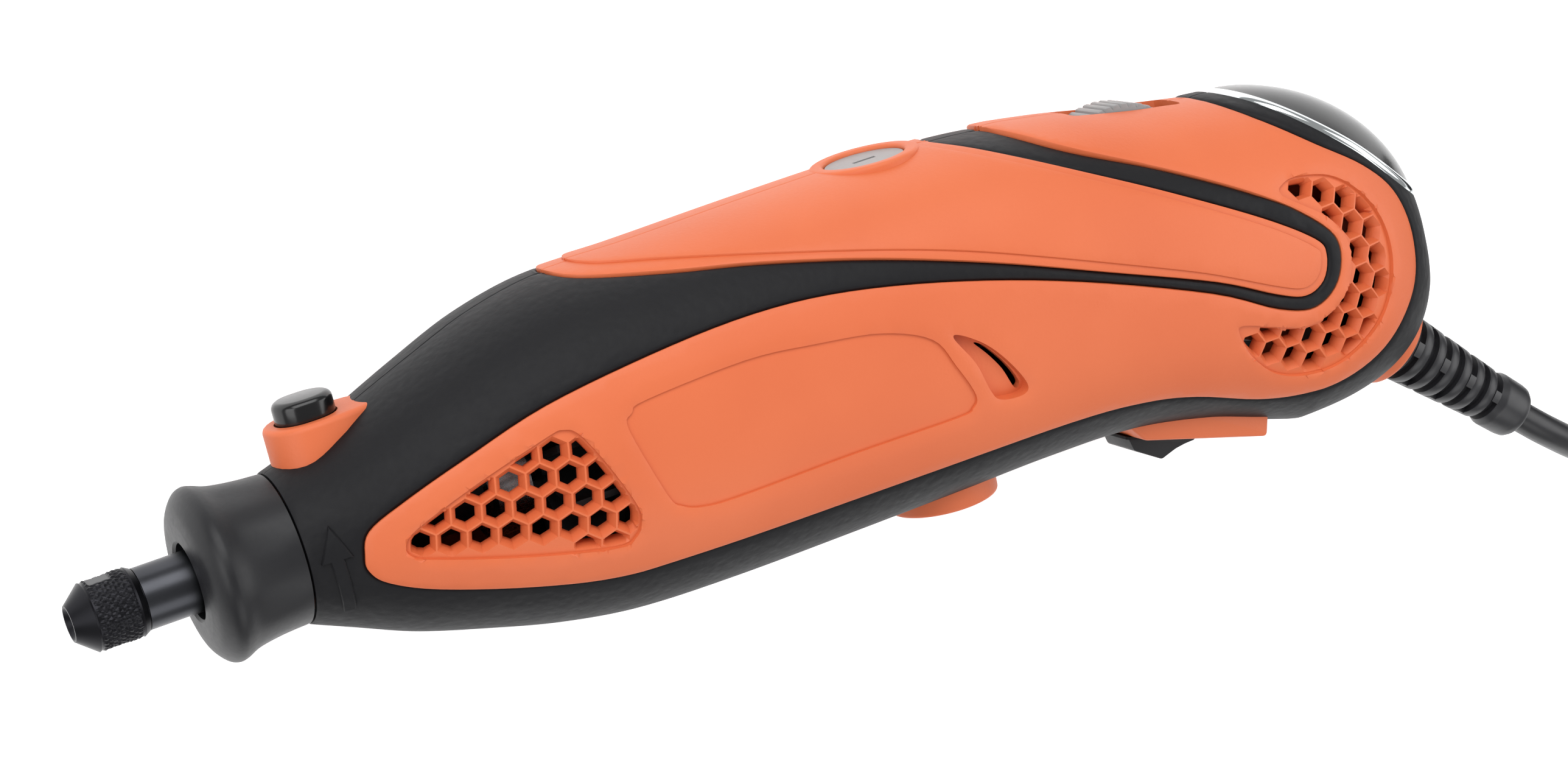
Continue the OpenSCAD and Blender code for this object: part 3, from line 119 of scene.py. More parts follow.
# Light: a white room with a broad soft box over the back of the tool, narrower ones at its nose and
# its rear and a weak one in front, all far enough away to give soft edges.
world = bpy.data.worlds.new("white room")
bpy.context.scene.world = world
world.use_nodes = True
tree = world.node_tree
tree.nodes.clear()
rays = node(tree, "LightPath")
seen = node(tree, "Math", {
    0: rays.outputs["Is Camera Ray"], 1: rays.outputs["Is Transmission Ray"]}, operation="MAXIMUM")
strength = node(tree, "Mix", {"Factor": seen.outputs[0], "A": 0.4, "B": 1.0}, data_type="FLOAT")
room = node(tree, "Background", {"Color": linear("#ffffff"), "Strength": strength.outputs[0]})
node(tree, "OutputWorld", {"Surface": room.outputs[0]})
for name, place, aim, size, power in (
    ("soft_box_back", (60, 560, 520), (125, 0, 0), (0.9, 0.5), 4.4),
    ("soft_box_nose", (-520, 120, 420), (60, 0, 0), (0.5, 0.5), 1.9),
    ("soft_box_front", (140, -620, 620), (125, 0, 0), (0.8, 0.5), 2.0),
    ("soft_box_rear", (660, -40, 360), (215, -10, 0), (0.5, 0.5), 1.7),
):
    lamp = bpy.data.lights.new(name, "AREA")
    lamp.shape, lamp.size, lamp.size_y, lamp.energy = "RECTANGLE", size[0], size[1], power
    holder = bpy.data.objects.new(name, lamp)
    holder.location = on_tool(place)
    holder.rotation_euler = (on_tool(aim) - on_tool(place)).to_track_quat("-Z", "Y").to_euler()
    bpy.context.scene.collection.objects.link(holder)

bpy.context.scene.view_settings.view_transform = "Standard"


# Mains lead: black PVC, 5.6 mm thick and 1.83 m long. It leaves the strain relief, sinks to the ground,
# is wound into a coil of four layers held by a band, and ends in the moulded plug beside it.
def moulded(name, colour, shade, roughness, grain, depth, specular=0.5):
    """A moulded plastic or rubber: colour with a slight drift to shade, and grain in mm, depth in mm."""
    material, tree = empty_material(name)
    where = node(tree, "TexCoord").outputs["Object"]
    drift = node(tree, "TexNoise", {"Vector": where, "Scale": 28.0, "Detail": 3.0, "Roughness": 0.5})
    fine = node(tree, "TexNoise", {"Vector": where, "Scale": 700 / grain, "Detail": 3.0, "Roughness": 0.55})
    pores = node(tree, "TexVoronoi", {"Vector": where, "Scale": 1000 / grain}, feature="SMOOTH_F1")
    relief = node(tree, "Math", {0: fine.outputs["Fac"], 1: pores.outputs["Distance"]}, operation="ADD")
    bump = node(tree, "Bump", {"Height": relief.outputs[0], "Distance": depth / 1000, "Strength": 1.0})
    spread = node(tree, "MapRange", {"Value": drift.outputs["Fac"], "From Min": 0.3, "From Max": 0.7})
    tint = node(tree, "Mix", {
        "Factor": spread.outputs[0], "A": linear(shade), "B": linear(colour)}, data_type="RGBA")
    gloss = node(tree, "MapRange", {
        "Value": fine.outputs["Fac"], "To Min": roughness - 0.06, "To Max": roughness + 0.06})
    plastic = node(tree, "BsdfPrincipled", {
        "Base Color": tint.outputs["Result"], "Roughness": gloss.outputs[0], "Normal": bump.outputs[0],
        "Specular IOR Level": specular})
    node(tree, "OutputMaterial", {"Surface": plastic.outputs[0]})
    return material


def flowing(points, closed=False):
    """A smooth line through vectors, with five steps from each to the next."""
    n, out = len(points), []
    for i in range(n if closed else n - 1):
        near = [(i + k) % n if closed else max(0, min(n - 1, i + k)) for k in (-1, 0, 1, 2)]
        a, b, c, d = (points[k] for k in near)
        for t in (k / 5 for k in range(5)):
            squared, cubed = (2 * a - 5 * b + 4 * c - d) * t * t, (3 * b - a - 3 * c + d) * t ** 3
            out.append(0.5 * (2 * b + (c - a) * t + squared + cubed))
    return out if closed else out + [points[-1]]


pvc_lead = moulded("PVC lead sheath, extruded", "#1a1a1d", "#151518", 0.36, 1.2, 0.006)
lead_d = 5.6
lead_r = lead_d / 2
ground_z = -nut_tip.z * 1000
relief_turn = math.radians(-43.3)
relief_way = Vector((math.cos(relief_turn), math.sin(relief_turn), 0))
relief_start = Vector((236.6, -34.2, 0))
relief_tip = relief_start + 25 * relief_way
coil_mid, coil_r, coil_from, coil_pitch = (341, -30), 33, -60, 6.1
layers, layer_turns, climb_turns = 4, 1.625, 0.5
stage_turns = layer_turns + climb_turns
coil_turns = layers * layer_turns + (layers - 1) * climb_turns
coil_way = Vector((-math.sin(math.radians(coil_from)), math.cos(math.radians(coil_from)), 0))


def coil_point(turns):
    """The lead's middle after a number of turns: it spirals in and out by turns, and climbs in between."""
    level, k = int(turns / stage_turns + 1e-9), turns % stage_turns
    if k > stage_turns - 1e-6:
        k = 0
    swung = k / layer_turns if k <= layer_turns else 1 + min(k - layer_turns, stage_turns - k) / layer_turns
    t = max(0, (k - layer_turns) / climb_turns)
    r = coil_r + (1 if level % 2 == 0 else -1) * layer_turns * coil_pitch / 2 * (1 - 2 * swung)
    a = math.radians(coil_from + 360 * turns)
    z = ground_z + lead_r + 1.1 + coil_pitch * (level + 3 * t * t - 2 * t ** 3)
    return Vector((coil_mid[0] + r * math.cos(a), coil_mid[1] + r * math.sin(a), z))


wound = [coil_point(coil_turns * i / 320) for i in range(321)]
coil_end = wound[-1] + lead_d * coil_way
plug_turn, plug_thick_half = math.radians(70), 6.8
plug_joint = Vector((402.4, -25, ground_z + plug_thick_half))
plug_way = Vector((math.cos(plug_turn), math.sin(plug_turn), 0))
ROUTE = [(262, -57.6, -1), (272, -64.6, -5), (286, -70.8, -13), (301, -74.6, -19.6), (316, -75.6, -21.5),
         (331, -74.2, -21.4), (345, -70.2, -20.8)]
TAIL = [(377, -56, -4.4), (388, -48.4, -10.4), (397, -38, -15.4)]
into_coil = [wound[0] - 2 * lead_d * coil_way, wound[0] - lead_d * coil_way]
run_in = [relief_tip - 5 * relief_way, relief_tip, *[Vector(p) for p in ROUTE], *into_coil]
into_plug = [plug_joint - lead_d * plug_way, plug_joint]
run_out = [coil_end, coil_end + lead_d * coil_way, *[Vector(p) for p in TAIL], *into_plug]
lead_line = flowing(run_in) + wound + flowing(run_out)
lead_curve = bpy.data.curves.new("mains_lead", "CURVE")
lead_curve.dimensions = "3D"
lead_curve.bevel_depth = lead_r / 1000
lead_curve.bevel_resolution = 5
lead_curve.use_fill_caps = True
run = lead_curve.splines.new("POLY")
run.points.add(len(lead_line) - 1)
for spot, point in zip(run.points, lead_line):
    spot.co = (*on_tool(point), 1)
run.use_smooth = True
lead = bpy.data.objects.new("mains_lead", lead_curve)
lead.data.materials.append(pvc_lead)
bpy.context.scene.collection.objects.link(lead)
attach(lead, "tool")
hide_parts("power_cord", "cord_coil", "cord_tail")


# Plug and band: a flat two-pin plug moulded in PVC, with finger ribs on its waist, and nickel-plated
# pins; the band is a strap of the same soft black plastic.
def outward(shape):
    bmesh.ops.recalc_face_normals(shape, faces=shape.faces)
    return shape


def slab(outline, low, high, high_round=0.0, low_round=0.0, segments=3):
    """A plate with a flat outline in XY between two heights, its rims rounded."""
    shape = bmesh.new()
    rim = shape.faces.new([shape.verts.new((p[0], p[1], low)) for p in outline])
    sides = bmesh.ops.extrude_face_region(shape, geom=[rim])["geom"]
    top = [v for v in sides if isinstance(v, bmesh.types.BMVert)]
    bmesh.ops.translate(shape, verts=top, vec=(0, 0, high - low))
    outward(shape)
    for level, size in ((high, high_round), (low, low_round)):
        if size:
            loop = [e for e in shape.edges if all(abs(v.co.z - level) < 1e-5 for v in e.verts)]
            bmesh.ops.bevel(shape, geom=loop, offset=size, segments=segments, profile=0.5, affect="EDGES",
                            material=-1, clamp_overlap=True)
    return shape


def add_to(shape, other):
    """Puts a second closed shape into the same mesh."""
    mesh = bpy.data.meshes.new("part")
    other.to_mesh(mesh)
    other.free()
    shape.from_mesh(mesh)


def piece(shape, name, look, stands_for=None, place=None, body="tool", sharp=38):
    """Puts a finished shape, in mm from the nut's tip or in place's frame, on a body. look holds its
    material and a slot name; the slot name is not used."""
    if place is not None:
        bmesh.ops.transform(shape, matrix=place, verts=shape.verts)
    bmesh.ops.transform(shape, matrix=tool_frame, verts=shape.verts)
    mesh = bpy.data.meshes.new(name)
    shape.to_mesh(mesh)
    shape.free()
    mesh.materials.append(look[0])
    mesh.shade_smooth()
    mesh.set_sharp_from_angle(angle=math.radians(sharp))
    made = bpy.data.objects.new(name, mesh)
    bpy.context.scene.collection.objects.link(made)
    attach(made, body)
    if stands_for:
        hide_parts(stands_for)
    return made


def eased(points, radius, steps=4):
    """An outline or profile with its corners rounded."""
    out, count = [], len(points)
    for i in range(count):
        a, b, c = (Vector(points[(i + k) % count]) for k in (-1, 0, 1))
        cut = min(radius, 0.45 * (a - b).length, 0.45 * (c - b).length)
        start, end = b + (a - b).normalized() * cut, b + (c - b).normalized() * cut
        out += [tuple((1 - t) ** 2 * start + 2 * t * (1 - t) * b + t * t * end)
                for t in (k / steps for k in range(steps + 1))]
    return out


def plated(name, colour, scale, low, high):
    """A bright plated metal, whose gloss wanders a little between low and high."""
    material, tree = empty_material(name)
    where = node(tree, "TexCoord").outputs["Object"]
    haze = node(tree, "TexNoise", {"Vector": where, "Scale": scale, "Detail": 2.0})
    gloss = node(tree, "MapRange", {"Value": haze.outputs["Fac"], "To Min": low, "To Max": high})
    metal = node(tree, "BsdfPrincipled", {
        "Base Color": linear(colour), "Metallic": 1.0, "Roughness": gloss.outputs[0]})
    node(tree, "OutputMaterial", {"Surface": metal.outputs[0]})
    return material


def finished(part, material):
    part.data.materials.clear()
    part.data.materials.append(material)


pvc_plug = moulded("PVC plug, moulded", "#242427", "#1d1d20", 0.42, 0.8, 0.012)
nickel = plated("nickel plate, bright", "#cfccc4", 900.0, 0.14, 0.26)
plug_frame = Matrix.Translation(plug_joint) @ Matrix.Rotation(plug_turn, 4, "Z")
half_waist = [(36, 17.5), (22, 17.5), (12, 5.2), (0.1, 4.4)]
waist = eased([(0.1, -4.4), (12, -5.2), (22, -17.5), (36, -17.5), *half_waist], 3.5)
plug_shape = slab(waist, -plug_thick_half, plug_thick_half, 2.6, 2.6, 4)
for low_x in (4.5 + 2.2 * i for i in range(4)):
    rib = eased([(low_x, -5.6), (low_x + 1.1, -5.6), (low_x + 1.1, 5.6), (low_x, 5.6)], 0.5, 2)
    add_to(plug_shape, slab(rib, -5.2, 5.2, 0.6, 0.6, 2))
plug = piece(plug_shape, "plug_body_moulded", (pvc_plug, "cord_rubber"), "plug_body", plug_frame)
pins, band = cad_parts["plug_pins"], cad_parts["cord_tie"]
finished(pins, nickel)
finished(band, pvc_plug)

# Case: two clam shells moulded in orange nylon, 1.7 mm thick under the skin and 3.4 mm in their panels,
# with vents of hexagonal cells and a plain recessed label place. a is mm along it, s mm round it.
STATIONS = np.array([
    [34.5, 12, -12, 12, 2.0], [41, 14, -14.8, 13.8, 2.05], [50, 17.8, -18.6, 17, 2.15],
    [61, 22, -21.9, 19.8, 2.25], [72, 25.8, -24.8, 21.8, 2.3], [84, 28, -26.8, 23, 2.35],
    [100, 28, -27.4, 23.8, 2.4], [122, 28.4, -27.4, 24, 2.4], [143, 28.5, -27.2, 24, 2.4],
    [160, 28, -27, 23.8, 2.4], [176, 25.8, -27.6, 23.4, 2.4], [190, 23, -30.4, 23, 2.4],
    [200, 21.6, -33.8, 22.4, 2.4], [208, 20.6, -36.4, 21.6, 2.4]])
nose_end, head_start, head_length, head_mid = 34.5, 208.0, 32.0, -10.0
head_up, head_down, head_wide = 30.6, 26.4, 21.6
far_end = head_start + head_length * math.pi / 2
round_about = 25.0
belly_line = math.pi * round_about


def ring_sizes(a):
    """Middle height, half height, half width and squareness of the case's section at a, mm along it."""
    a = np.asarray(a, float)
    x = STATIONS[:, 0]
    i = np.clip(np.searchsorted(x, a, side="right") - 1, 0, len(x) - 2)
    span = x[i + 1] - x[i]
    t = np.clip((a - x[i]) / span, 0, 1)
    lows, highs = np.maximum(np.arange(len(x)) - 1, 0), np.minimum(np.arange(len(x)) + 1, len(x) - 1)
    out = []
    for k in range(1, 5):
        v = STATIONS[:, k]
        rate = (v[highs] - v[lows]) / (x[highs] - x[lows])
        out.append((2 * t ** 3 - 3 * t ** 2 + 1) * v[i] + (t ** 3 - 2 * t ** 2 + t) * span * rate[i]
                   + (3 * t ** 2 - 2 * t ** 3) * v[i + 1] + (t ** 3 - t ** 2) * span * rate[i + 1])
    top, bottom, wide, square = out
    u = np.sin(np.clip((a - head_start) / head_length, 0, math.pi / 2))
    head = a > head_start
    bulge = [np.maximum(0, 1 - u ** p) ** (1 / p) for p in (1.8, 2.8, 2.1)]
    top = np.where(head, head_mid + head_up * bulge[0], top)
    bottom = np.where(head, head_mid - head_down * bulge[1], bottom)
    wide = np.where(head, head_wide * bulge[2], wide)
    return (top + bottom) / 2, (top - bottom) / 2, wide, square


def head_x(a):
    """Distance from the nut's tip of a place at a."""
    return np.where(a > head_start, head_start + head_length * np.sin((a - head_start) / head_length), a)


def along_case(x):
    a = head_start + head_length * np.arcsin(np.clip((x - head_start) / head_length, 0, 1))
    return np.where(x > head_start, a, x)


def on_case(at):
    """Points in mm of the right half of the case for rows of (a, s), s counted from its back."""
    a, angle = at[:, 0], np.clip(at[:, 1], 0, belly_line) / round_about
    mid, high, wide, square = ring_sizes(a)
    c, s = np.cos(angle), np.abs(np.sin(angle))
    s = np.where(s < 1e-9, 0, s)
    y, z = mid + high * np.sign(c) * np.abs(c) ** (2 / square), wide * s ** (2 / square)
    return np.stack([head_x(a), y, z], 1)


def seen_at(places):
    """(a, s) of places given by x and y."""
    places = np.asarray(places, float)
    a = along_case(places[:, 0])
    mid, high, wide, square = ring_sizes(a)
    v = np.clip((places[:, 1] - mid) / np.maximum(high, 1e-6), -1, 1)
    return np.stack([a, round_about * np.arccos(np.sign(v) * np.abs(v) ** (square / 2))], 1)


def from_above(places, belly=False):
    """(a, s) of places given by x and z, on the back or the belly."""
    places = np.asarray(places, float)
    a = along_case(places[:, 0])
    mid, high, wide, square = ring_sizes(a)
    angle = np.arcsin(np.clip(np.abs(places[:, 1]) / wide, 0, 1) ** (square / 2))
    return np.stack([a, round_about * (math.pi - angle if belly else angle)], 1)


def slopes(base, e):
    """Steps over the case from e before to e past each (a, s), along it and round it."""
    return [on_case(base + way) - on_case(base - way) for way in (np.array([e, 0]), np.array([0, e]))]


def normals_at(at):
    e = 0.04
    base = np.clip(at, (nose_end + e, e), (far_end - 0.3, belly_line - e))
    n = np.cross(*slopes(base, e))
    n /= np.linalg.norm(n, axis=1)[:, None]
    middle = np.minimum(base[:, 0], head_start)
    centre = np.stack([middle, ring_sizes(middle)[0], np.zeros(len(base))], 1)
    n[np.einsum("ij,ij->i", n, on_case(base) - centre) < 0] *= -1
    n[(at[:, 1] < 0.02) | (at[:, 1] > belly_line - 0.02), 2] = 0
    n[at[:, 0] > far_end - 0.4] = (1, 0, 0)
    return n / np.linalg.norm(n, axis=1)[:, None]


def thick_line(points, closed, step):
    """The points of a line, filled in so that none is further than step mm from the next."""
    points = [tuple(p) for p in points] + ([tuple(points[0])] if closed else [])
    out = []
    for (x0, y0), (x1, y1) in zip(points, points[1:]):
        count = max(1, math.ceil(math.hypot(x1 - x0, y1 - y0) / step))
        out += [(x0 + (x1 - x0) * k / count, y0 + (y1 - y0) * k / count) for k in range(count)]
    return np.array(out if closed else out + [points[-1]])


def laid(outline, closed=True, step=0.8, place=seen_at):
    """An outline given by x and y laid on the case, as a line of (a, s) and whether it is closed."""
    return place(thick_line(outline, closed, step)), closed


def smooth_outline(points, closed=True):
    return np.array(flowing(np.array(points, float), closed))


def within(outline, places):
    """Which places lie in a closed outline."""
    hit = np.zeros(len(places), bool)
    x, y = places[:, 0], places[:, 1]
    for (x0, y0), (x1, y1) in zip(outline, np.roll(outline, -1, axis=0)):
        if y0 != y1:
            hit ^= ((y0 > y) != (y1 > y)) & (x < (x1 - x0) * (y - y0) / (y1 - y0) + x0)
    return hit


def shifted(line, gap, closed):
    """A line on the case, given as (a, s), moved gap mm to its left over the surface."""
    e = 0.02
    ahead = np.roll(line, -1, axis=0) if closed else np.vstack([line[1:], line[-1:]])
    behind = np.roll(line, 1, axis=0) if closed else np.vstack([line[:1], line[:-1]])
    base = np.clip(line, (nose_end + e, e), (far_end - 0.5, belly_line - e))
    along, round_it = (way / (2 * e) for way in slopes(base, e))
    way = on_case(ahead) - on_case(behind)
    way /= np.maximum(np.linalg.norm(way, axis=1), 1e-9)[:, None]
    side = np.cross(normals_at(base), way) * gap
    step = [np.linalg.lstsq(np.stack([p, q], 1), w, rcond=None)[0] for p, q, w in zip(along, round_it, side)]
    out = line + np.array(step)
    out[:, 1] = np.clip(out[:, 1], 0, belly_line)
    return out


def border(laid_line, gaps):
    """A border line on the case with its neighbours on both sides."""
    line, closed = laid_line
    return [laid_line] + [(shifted(line, g, closed), closed) for g in gaps]


def tree_of(spots):
    tree = KDTree(len(spots))
    for i, p in enumerate(spots):
        tree.insert(p, i)
    tree.balance()
    return tree


class Near:
    """Distance in mm from points of the case to lines on it."""

    def __init__(self, lines):
        self.tree = tree_of(np.vstack([on_case(thick_line(line, closed, 0.25)) for line, closed in lines]))

    def __call__(self, points):
        return np.array([self.tree.find(p)[2] for p in points])


def rim(distance, radius):
    """How far a rounded rim has sunk at a distance from its border."""
    d = np.clip(distance, 0, radius)
    return np.sqrt(np.maximum(0, radius ** 2 - (radius - d) ** 2)) - radius


def skin(lines, region_of, height_of, inner):
    """A closed shell over the right half of the case, down to inner. region_of names the region of each
    (a, s), -1 for an opening; height_of gives the height over the case for rows of a region."""
    pitch, merge_reach = 1.25, 0.55
    along, down = np.linspace(nose_end, far_end, 180), np.linspace(0, belly_line, 60)
    box_line = np.array([(a, 0) for a in along] + [(far_end, s) for s in down[1:]]
                        + [(a, belly_line) for a in along[-2::-1]] + [(nose_end, s) for s in down[-2:0:-1]])
    spots, edges, first = [], [], 0
    for line, closed in [*lines, (box_line, True)]:
        count = len(line)
        spots.append(line)
        edges += [(first + i, first + (i + 1) % count) for i in range(count if closed else count - 1)]
        first += count
    taken = tree_of([(a, s, 0) for a, s in np.vstack(spots)])
    spots.append(np.array([(a, s) for a in np.arange(nose_end + pitch, far_end - 0.4, pitch)
                           for s in np.arange(pitch, belly_line - 0.4, pitch)
                           if taken.find((a, s, 0))[2] > merge_reach * pitch]))
    found = delaunay_2d_cdt([Vector(p) for p in np.vstack(spots)], edges, [], 0, 1e-4)
    at, faces = np.array([tuple(p) for p in found[0]]), np.array(found[2])
    at = np.clip(at, (nose_end, 0), (far_end, belly_line))
    region = region_of(at[faces].mean(axis=1))
    faces, region = faces[region >= 0], region[region >= 0]
    base, way = on_case(at), normals_at(at)
    points, number = [], {}
    for kind in np.unique(region):
        used = np.unique(faces[region == kind])
        for spot, h in zip(used, height_of(kind, at[used], base[used])):
            number[(spot, kind)] = len(points)
            points.append(base[spot] + way[spot] * h)
    used = np.unique(faces)
    low = {spot: len(points) + i for i, spot in enumerate(used)}
    inside = base[used] + way[used] * inner
    inside[:, 2] = np.maximum(inside[:, 2], 0)
    points = np.vstack([np.array(points), inside])
    made, owner = [], {}
    for (i, j, k), kind in zip(faces, region):
        made.append((number[(i, kind)], number[(j, kind)], number[(k, kind)]))
        made.append((low[k], low[j], low[i]))
        for p, q in ((i, j), (j, k), (k, i)):
            owner[(p, q)] = kind
    for (p, q), kind in owner.items():
        other = owner.get((q, p))
        if other is None:
            made.append((number[(q, kind)], number[(p, kind)], low[p], low[q]))
        elif kind < other:
            made.append((number[(q, kind)], number[(p, kind)], number[(p, other)], number[(q, other)]))
    shape = bmesh.new()
    verts = [shape.verts.new(p) for p in points]
    for f in made:
        shape.faces.new([verts[i] for i in f])
    bmesh.ops.remove_doubles(shape, verts=shape.verts, dist=2e-3)
    bmesh.ops.dissolve_degenerate(shape, dist=1e-4, edges=shape.edges)
    loose = [v for v in shape.verts if not v.link_faces]
    bmesh.ops.delete(shape, geom=loose, context="VERTS")
    return outward(shape)


SWOOP = [(44, 2), (50, 5), (60, 8.6), (74, 12.8), (92, 15.2), (110, 16), (126, 14.6), (145, 10.4), (165, 4),
         (188, -5.4), (200, -12), (207, -13.8), (212, -11), (213.8, -5.4), (211, -0.6), (202, 6.6), (186, 16),
         (172, 23), (163.5, 28.5)]
REAR_LINE = [(203, 21.8), (209, 16.8), (216, 11), (224, 5), (229.5, -1), (231.8, -8), (231, -15),
             (227.5, -20.5), (221, -26), (213, -28.8), (205, -28.9), (196, -27), (184, -22.4), (174, -20),
             (160, -18.6), (130, -18), (92, -17.4), (79, -16.8), (66, -14), (52, -9.8), (45, -6.6), (42.6, -4),
             (42.5, -1.5), (44, 2)]
UPPER = [(85, 28.6), (88.5, 27.3), (101, 24.8), (115, 22.2), (132.5, 17.7), (151, 11.5), (170, 4), (189, -3.7),
         (200, -9.4), (205.5, -11.4), (209.4, -10), (211, -6), (209.5, -2.8), (200.5, 3.5), (185, 12.6),
         (172, 19.7), (164, 24), (157.5, 27.3), (153.5, 28.8)]
FIELD = [(88, 28.9), (91.7, 27.8), (102.4, 25.9), (115.5, 23.1), (133, 18.7), (146.8, 14.5), (160.9, 9.2),
         (180.8, 1.1), (189.4, -2.7), (200, -8), (205, -9.9), (208.2, -8.9), (209.6, -5.9), (208.4, -3.6),
         (199.9, 2.5), (184.4, 11.6), (171.5, 18.6), (163.4, 22.9), (156.6, 26.3), (151.5, 28.6)]
LABEL = [(85, 5.6), (86.2, 8), (89, 9.2), (106, 10), (118, 8.8), (129, 7), (137, 3.4), (140, -2), (142.4, -7.6),
         (141.6, -9.6), (138.6, -10.3), (120, -10), (100, -10.2), (94, -9.8), (90.6, -8.6), (88.4, -6)]
FANG = [(140.6, 2.4), (142, 2.5), (146, -0.4), (149.4, -4.6), (151.8, -9), (150.6, -10.4), (146.6, -9.8),
        (145, -7.6), (143.4, -2.6)]
FANG_SLIT = [(144.6, 0.2), (146.4, -0.9), (149.4, -4.9), (151.3, -8.9), (150.3, -9.6), (148.6, -5.6),
             (146.6, -2.4)]
FRONT_VENT = [(48.4, -1.8), (50.6, 0.6), (61, 4.8), (72.6, 8.4), (75.4, 8.7), (77.4, 7.4), (80, 2.4),
              (83.2, -5.4), (83.6, -8.6), (82.4, -11), (79, -11.8), (64.8, -8.5), (51.4, -4.6), (49, -3.4)]
REAR_VENT = [(206, 7), (209.5, 7.6), (216, 5.9), (221, 1.8), (224.4, -4), (225.2, -10.5), (223.2, -16.8),
             (219, -21.8), (212, -25.3), (205, -25.4), (198.5, -23), (193.6, -18), (191.6, -13.4),
             (192.6, -12.4), (198.2, -14.4), (204.1, -16.4), (209.8, -15.8), (214.3, -12.2), (215.9, -5.9),
             (213.2, -0.5), (207, 4.5), (205.6, 5.9)]
ARROW = [(38.8, 4.4), (36.2, -1), (37.6, -1), (38.4, -9.4), (40.2, -9.4), (39.6, -1), (41, -1)]
SCREWS = [(60, -15.4), (62.5, 15.4), (89, -22.6), (129.5, 22.8), (166, -19.5), (169, 17.5), (229.8, -9)]
side_edge, upper, field = (smooth_outline(points, False) for points in (REAR_LINE + SWOOP[1:], UPPER, FIELD))
over = 60  # well over the case's back, where the outlines of the panels are closed
side_area = np.vstack([side_edge, [(163.5, over), (203, over)]])
upper_area = np.vstack([upper, [(153.5, over), (85, over)]])
field_area = np.vstack([field, [(151.5, over), (88, over)]])
label, fang, fang_slit = (smooth_outline(points) for points in (LABEL, FANG, FANG_SLIT))
vents = [smooth_outline(FRONT_VENT), smooth_outline(REAR_VENT)]
side_line, upper_line, field_line = (laid(line, False) for line in (side_edge, upper, field))
label_line, fang_line = laid(label), laid(fang)
cell_pitch, hole_flat, rib_flat, well_r = 4.6, 1.52, 2.17, 2.8
crease, side_rim, upper_rim, field_rim, hollow_rim, grip_rim, seam_r = 0.12, 0.4, 0.38, 0.3, 0.28, 0.85, 0.16


def drawn_in(outline, gap):
    """A closed outline drawn in by gap mm."""
    ahead, behind = np.roll(outline, -1, axis=0), np.roll(outline, 1, axis=0)
    way = ahead - behind
    way /= np.linalg.norm(way, axis=1)[:, None]
    area = 0.5 * np.sum(outline[:, 0] * ahead[:, 1] - ahead[:, 0] * outline[:, 1])
    return outline + np.stack([-way[:, 1], way[:, 0]], 1) * gap * (1 if area > 0 else -1)


def around(centre, radius, angles):
    return np.array([centre + radius * np.array([math.cos(a), math.sin(a)]) for a in angles])


def hexagon(centre, flat, turn):
    return around(centre, flat / math.cos(math.pi / 6), (math.radians(turn + 30 + 60 * k) for k in range(6)))


def from_cell(places, rows, turn):
    """Distance of each place from the nearest cell's middle, measured to its flats."""
    best = np.full(len(places), 99.0)
    ways = around(0, 1, (math.radians(turn + 60 * k) for k in range(3)))
    for p in rows:
        best = np.minimum(best, np.abs((places - p) @ ways.T).max(axis=1))
    return best


vent_rims = [drawn_in(o, 0.75) for o in vents]
lattices = []
for (x, y), turn, outline in (((50.5, -2.1), -10.5, vent_rims[0]), ((206.1, -19.2), -30, vent_rims[1])):
    rows = []
    one, other = math.radians(turn), math.radians(turn + 60)
    for i, j in ((i, j) for i in range(-12, 13) for j in range(-12, 13)):
        p = np.array([x + cell_pitch * (i * math.cos(one) + j * math.cos(other)),
                      y + cell_pitch * (i * math.sin(one) + j * math.sin(other))])
        if within(outline, around(p, rib_flat * 0.8, (k * math.pi / 6 for k in range(12)))).sum() >= 5:
            rows.append(p)
    lattices.append((np.array(rows), turn))
parting = [(np.stack([np.linspace(nose_end, far_end, 300), np.full(300, s)], 1), False)
           for s in (seam_r, 0.34, belly_line - 0.34, belly_line - seam_r)]
boss_x, boss_reach = 143.5, 8.7
half_ring = np.array([(boss_x - boss_reach * math.cos(a), boss_reach * math.sin(a))
                      for a in (k * math.pi / 40 for k in range(41))])
boss_lines = [(from_above(half_ring, belly), False) for belly in (False, True)]
slot = np.array([(179.5, 0), (179.5, 3.5), (179.8, 4.2), (180.5, 4.5), (199, 4.5), (199.7, 4.2), (200, 3.5),
                 (200, 0)])
slot_line = laid(slot, False, place=from_above)
cells = [laid(hexagon(p, size, turn), step=1.0)
         for rows, turn in lattices for p in rows for size in (rib_flat, hole_flat)]
vent_lines, rim_lines = [laid(o) for o in vents], [laid(o) for o in vent_rims]
wells = [(seen_at(around(p, well_r, (k * math.pi / 12 for k in range(24)))), True) for p in SCREWS]
side_gap, upper_gap, field_gap = (Near([line]) for line in (side_line, upper_line, field_line))
hollow_gap = Near([label_line, fang_line, *vent_lines])


def round_ended(length, width):
    """An outline with two straight sides and two half-round ends."""
    r, half, steps = width / 2, (length - width) / 2, 14
    ends = [(side * half, math.pi * (k / steps - 0.5 * side)) for side in (1, -1) for k in range(steps + 1)]
    return [(middle + r * math.cos(a), r * math.sin(a)) for middle, a in ends]


lock_x = 43.3
button_hole = np.array(round_ended(10.8, 9.4)) + (lock_x, 0)
button_side = sorted(tuple(p) for p in button_hole if p[1] > 0.01)
button_line = laid([(lock_x - 5.4, 0), *button_side, (lock_x + 5.4, 0)], False, 0.6, from_above)


def opened(p, screwed):
    """Where brushes, dial, lock button and, on the far half, screws come through the case."""
    out = (p[:, 0] - boss_x) ** 2 + p[:, 2] ** 2 < boss_reach ** 2
    for hole in (button_hole, np.vstack([slot, slot[::-1] * (1, -1)])):
        out |= within(hole, p[:, [0, 2]]) & (p[:, 1] > 0)
    for x, y in SCREWS if screwed else ():
        out |= (p[:, 0] - x) ** 2 + (p[:, 1] - y) ** 2 < well_r ** 2
    return out


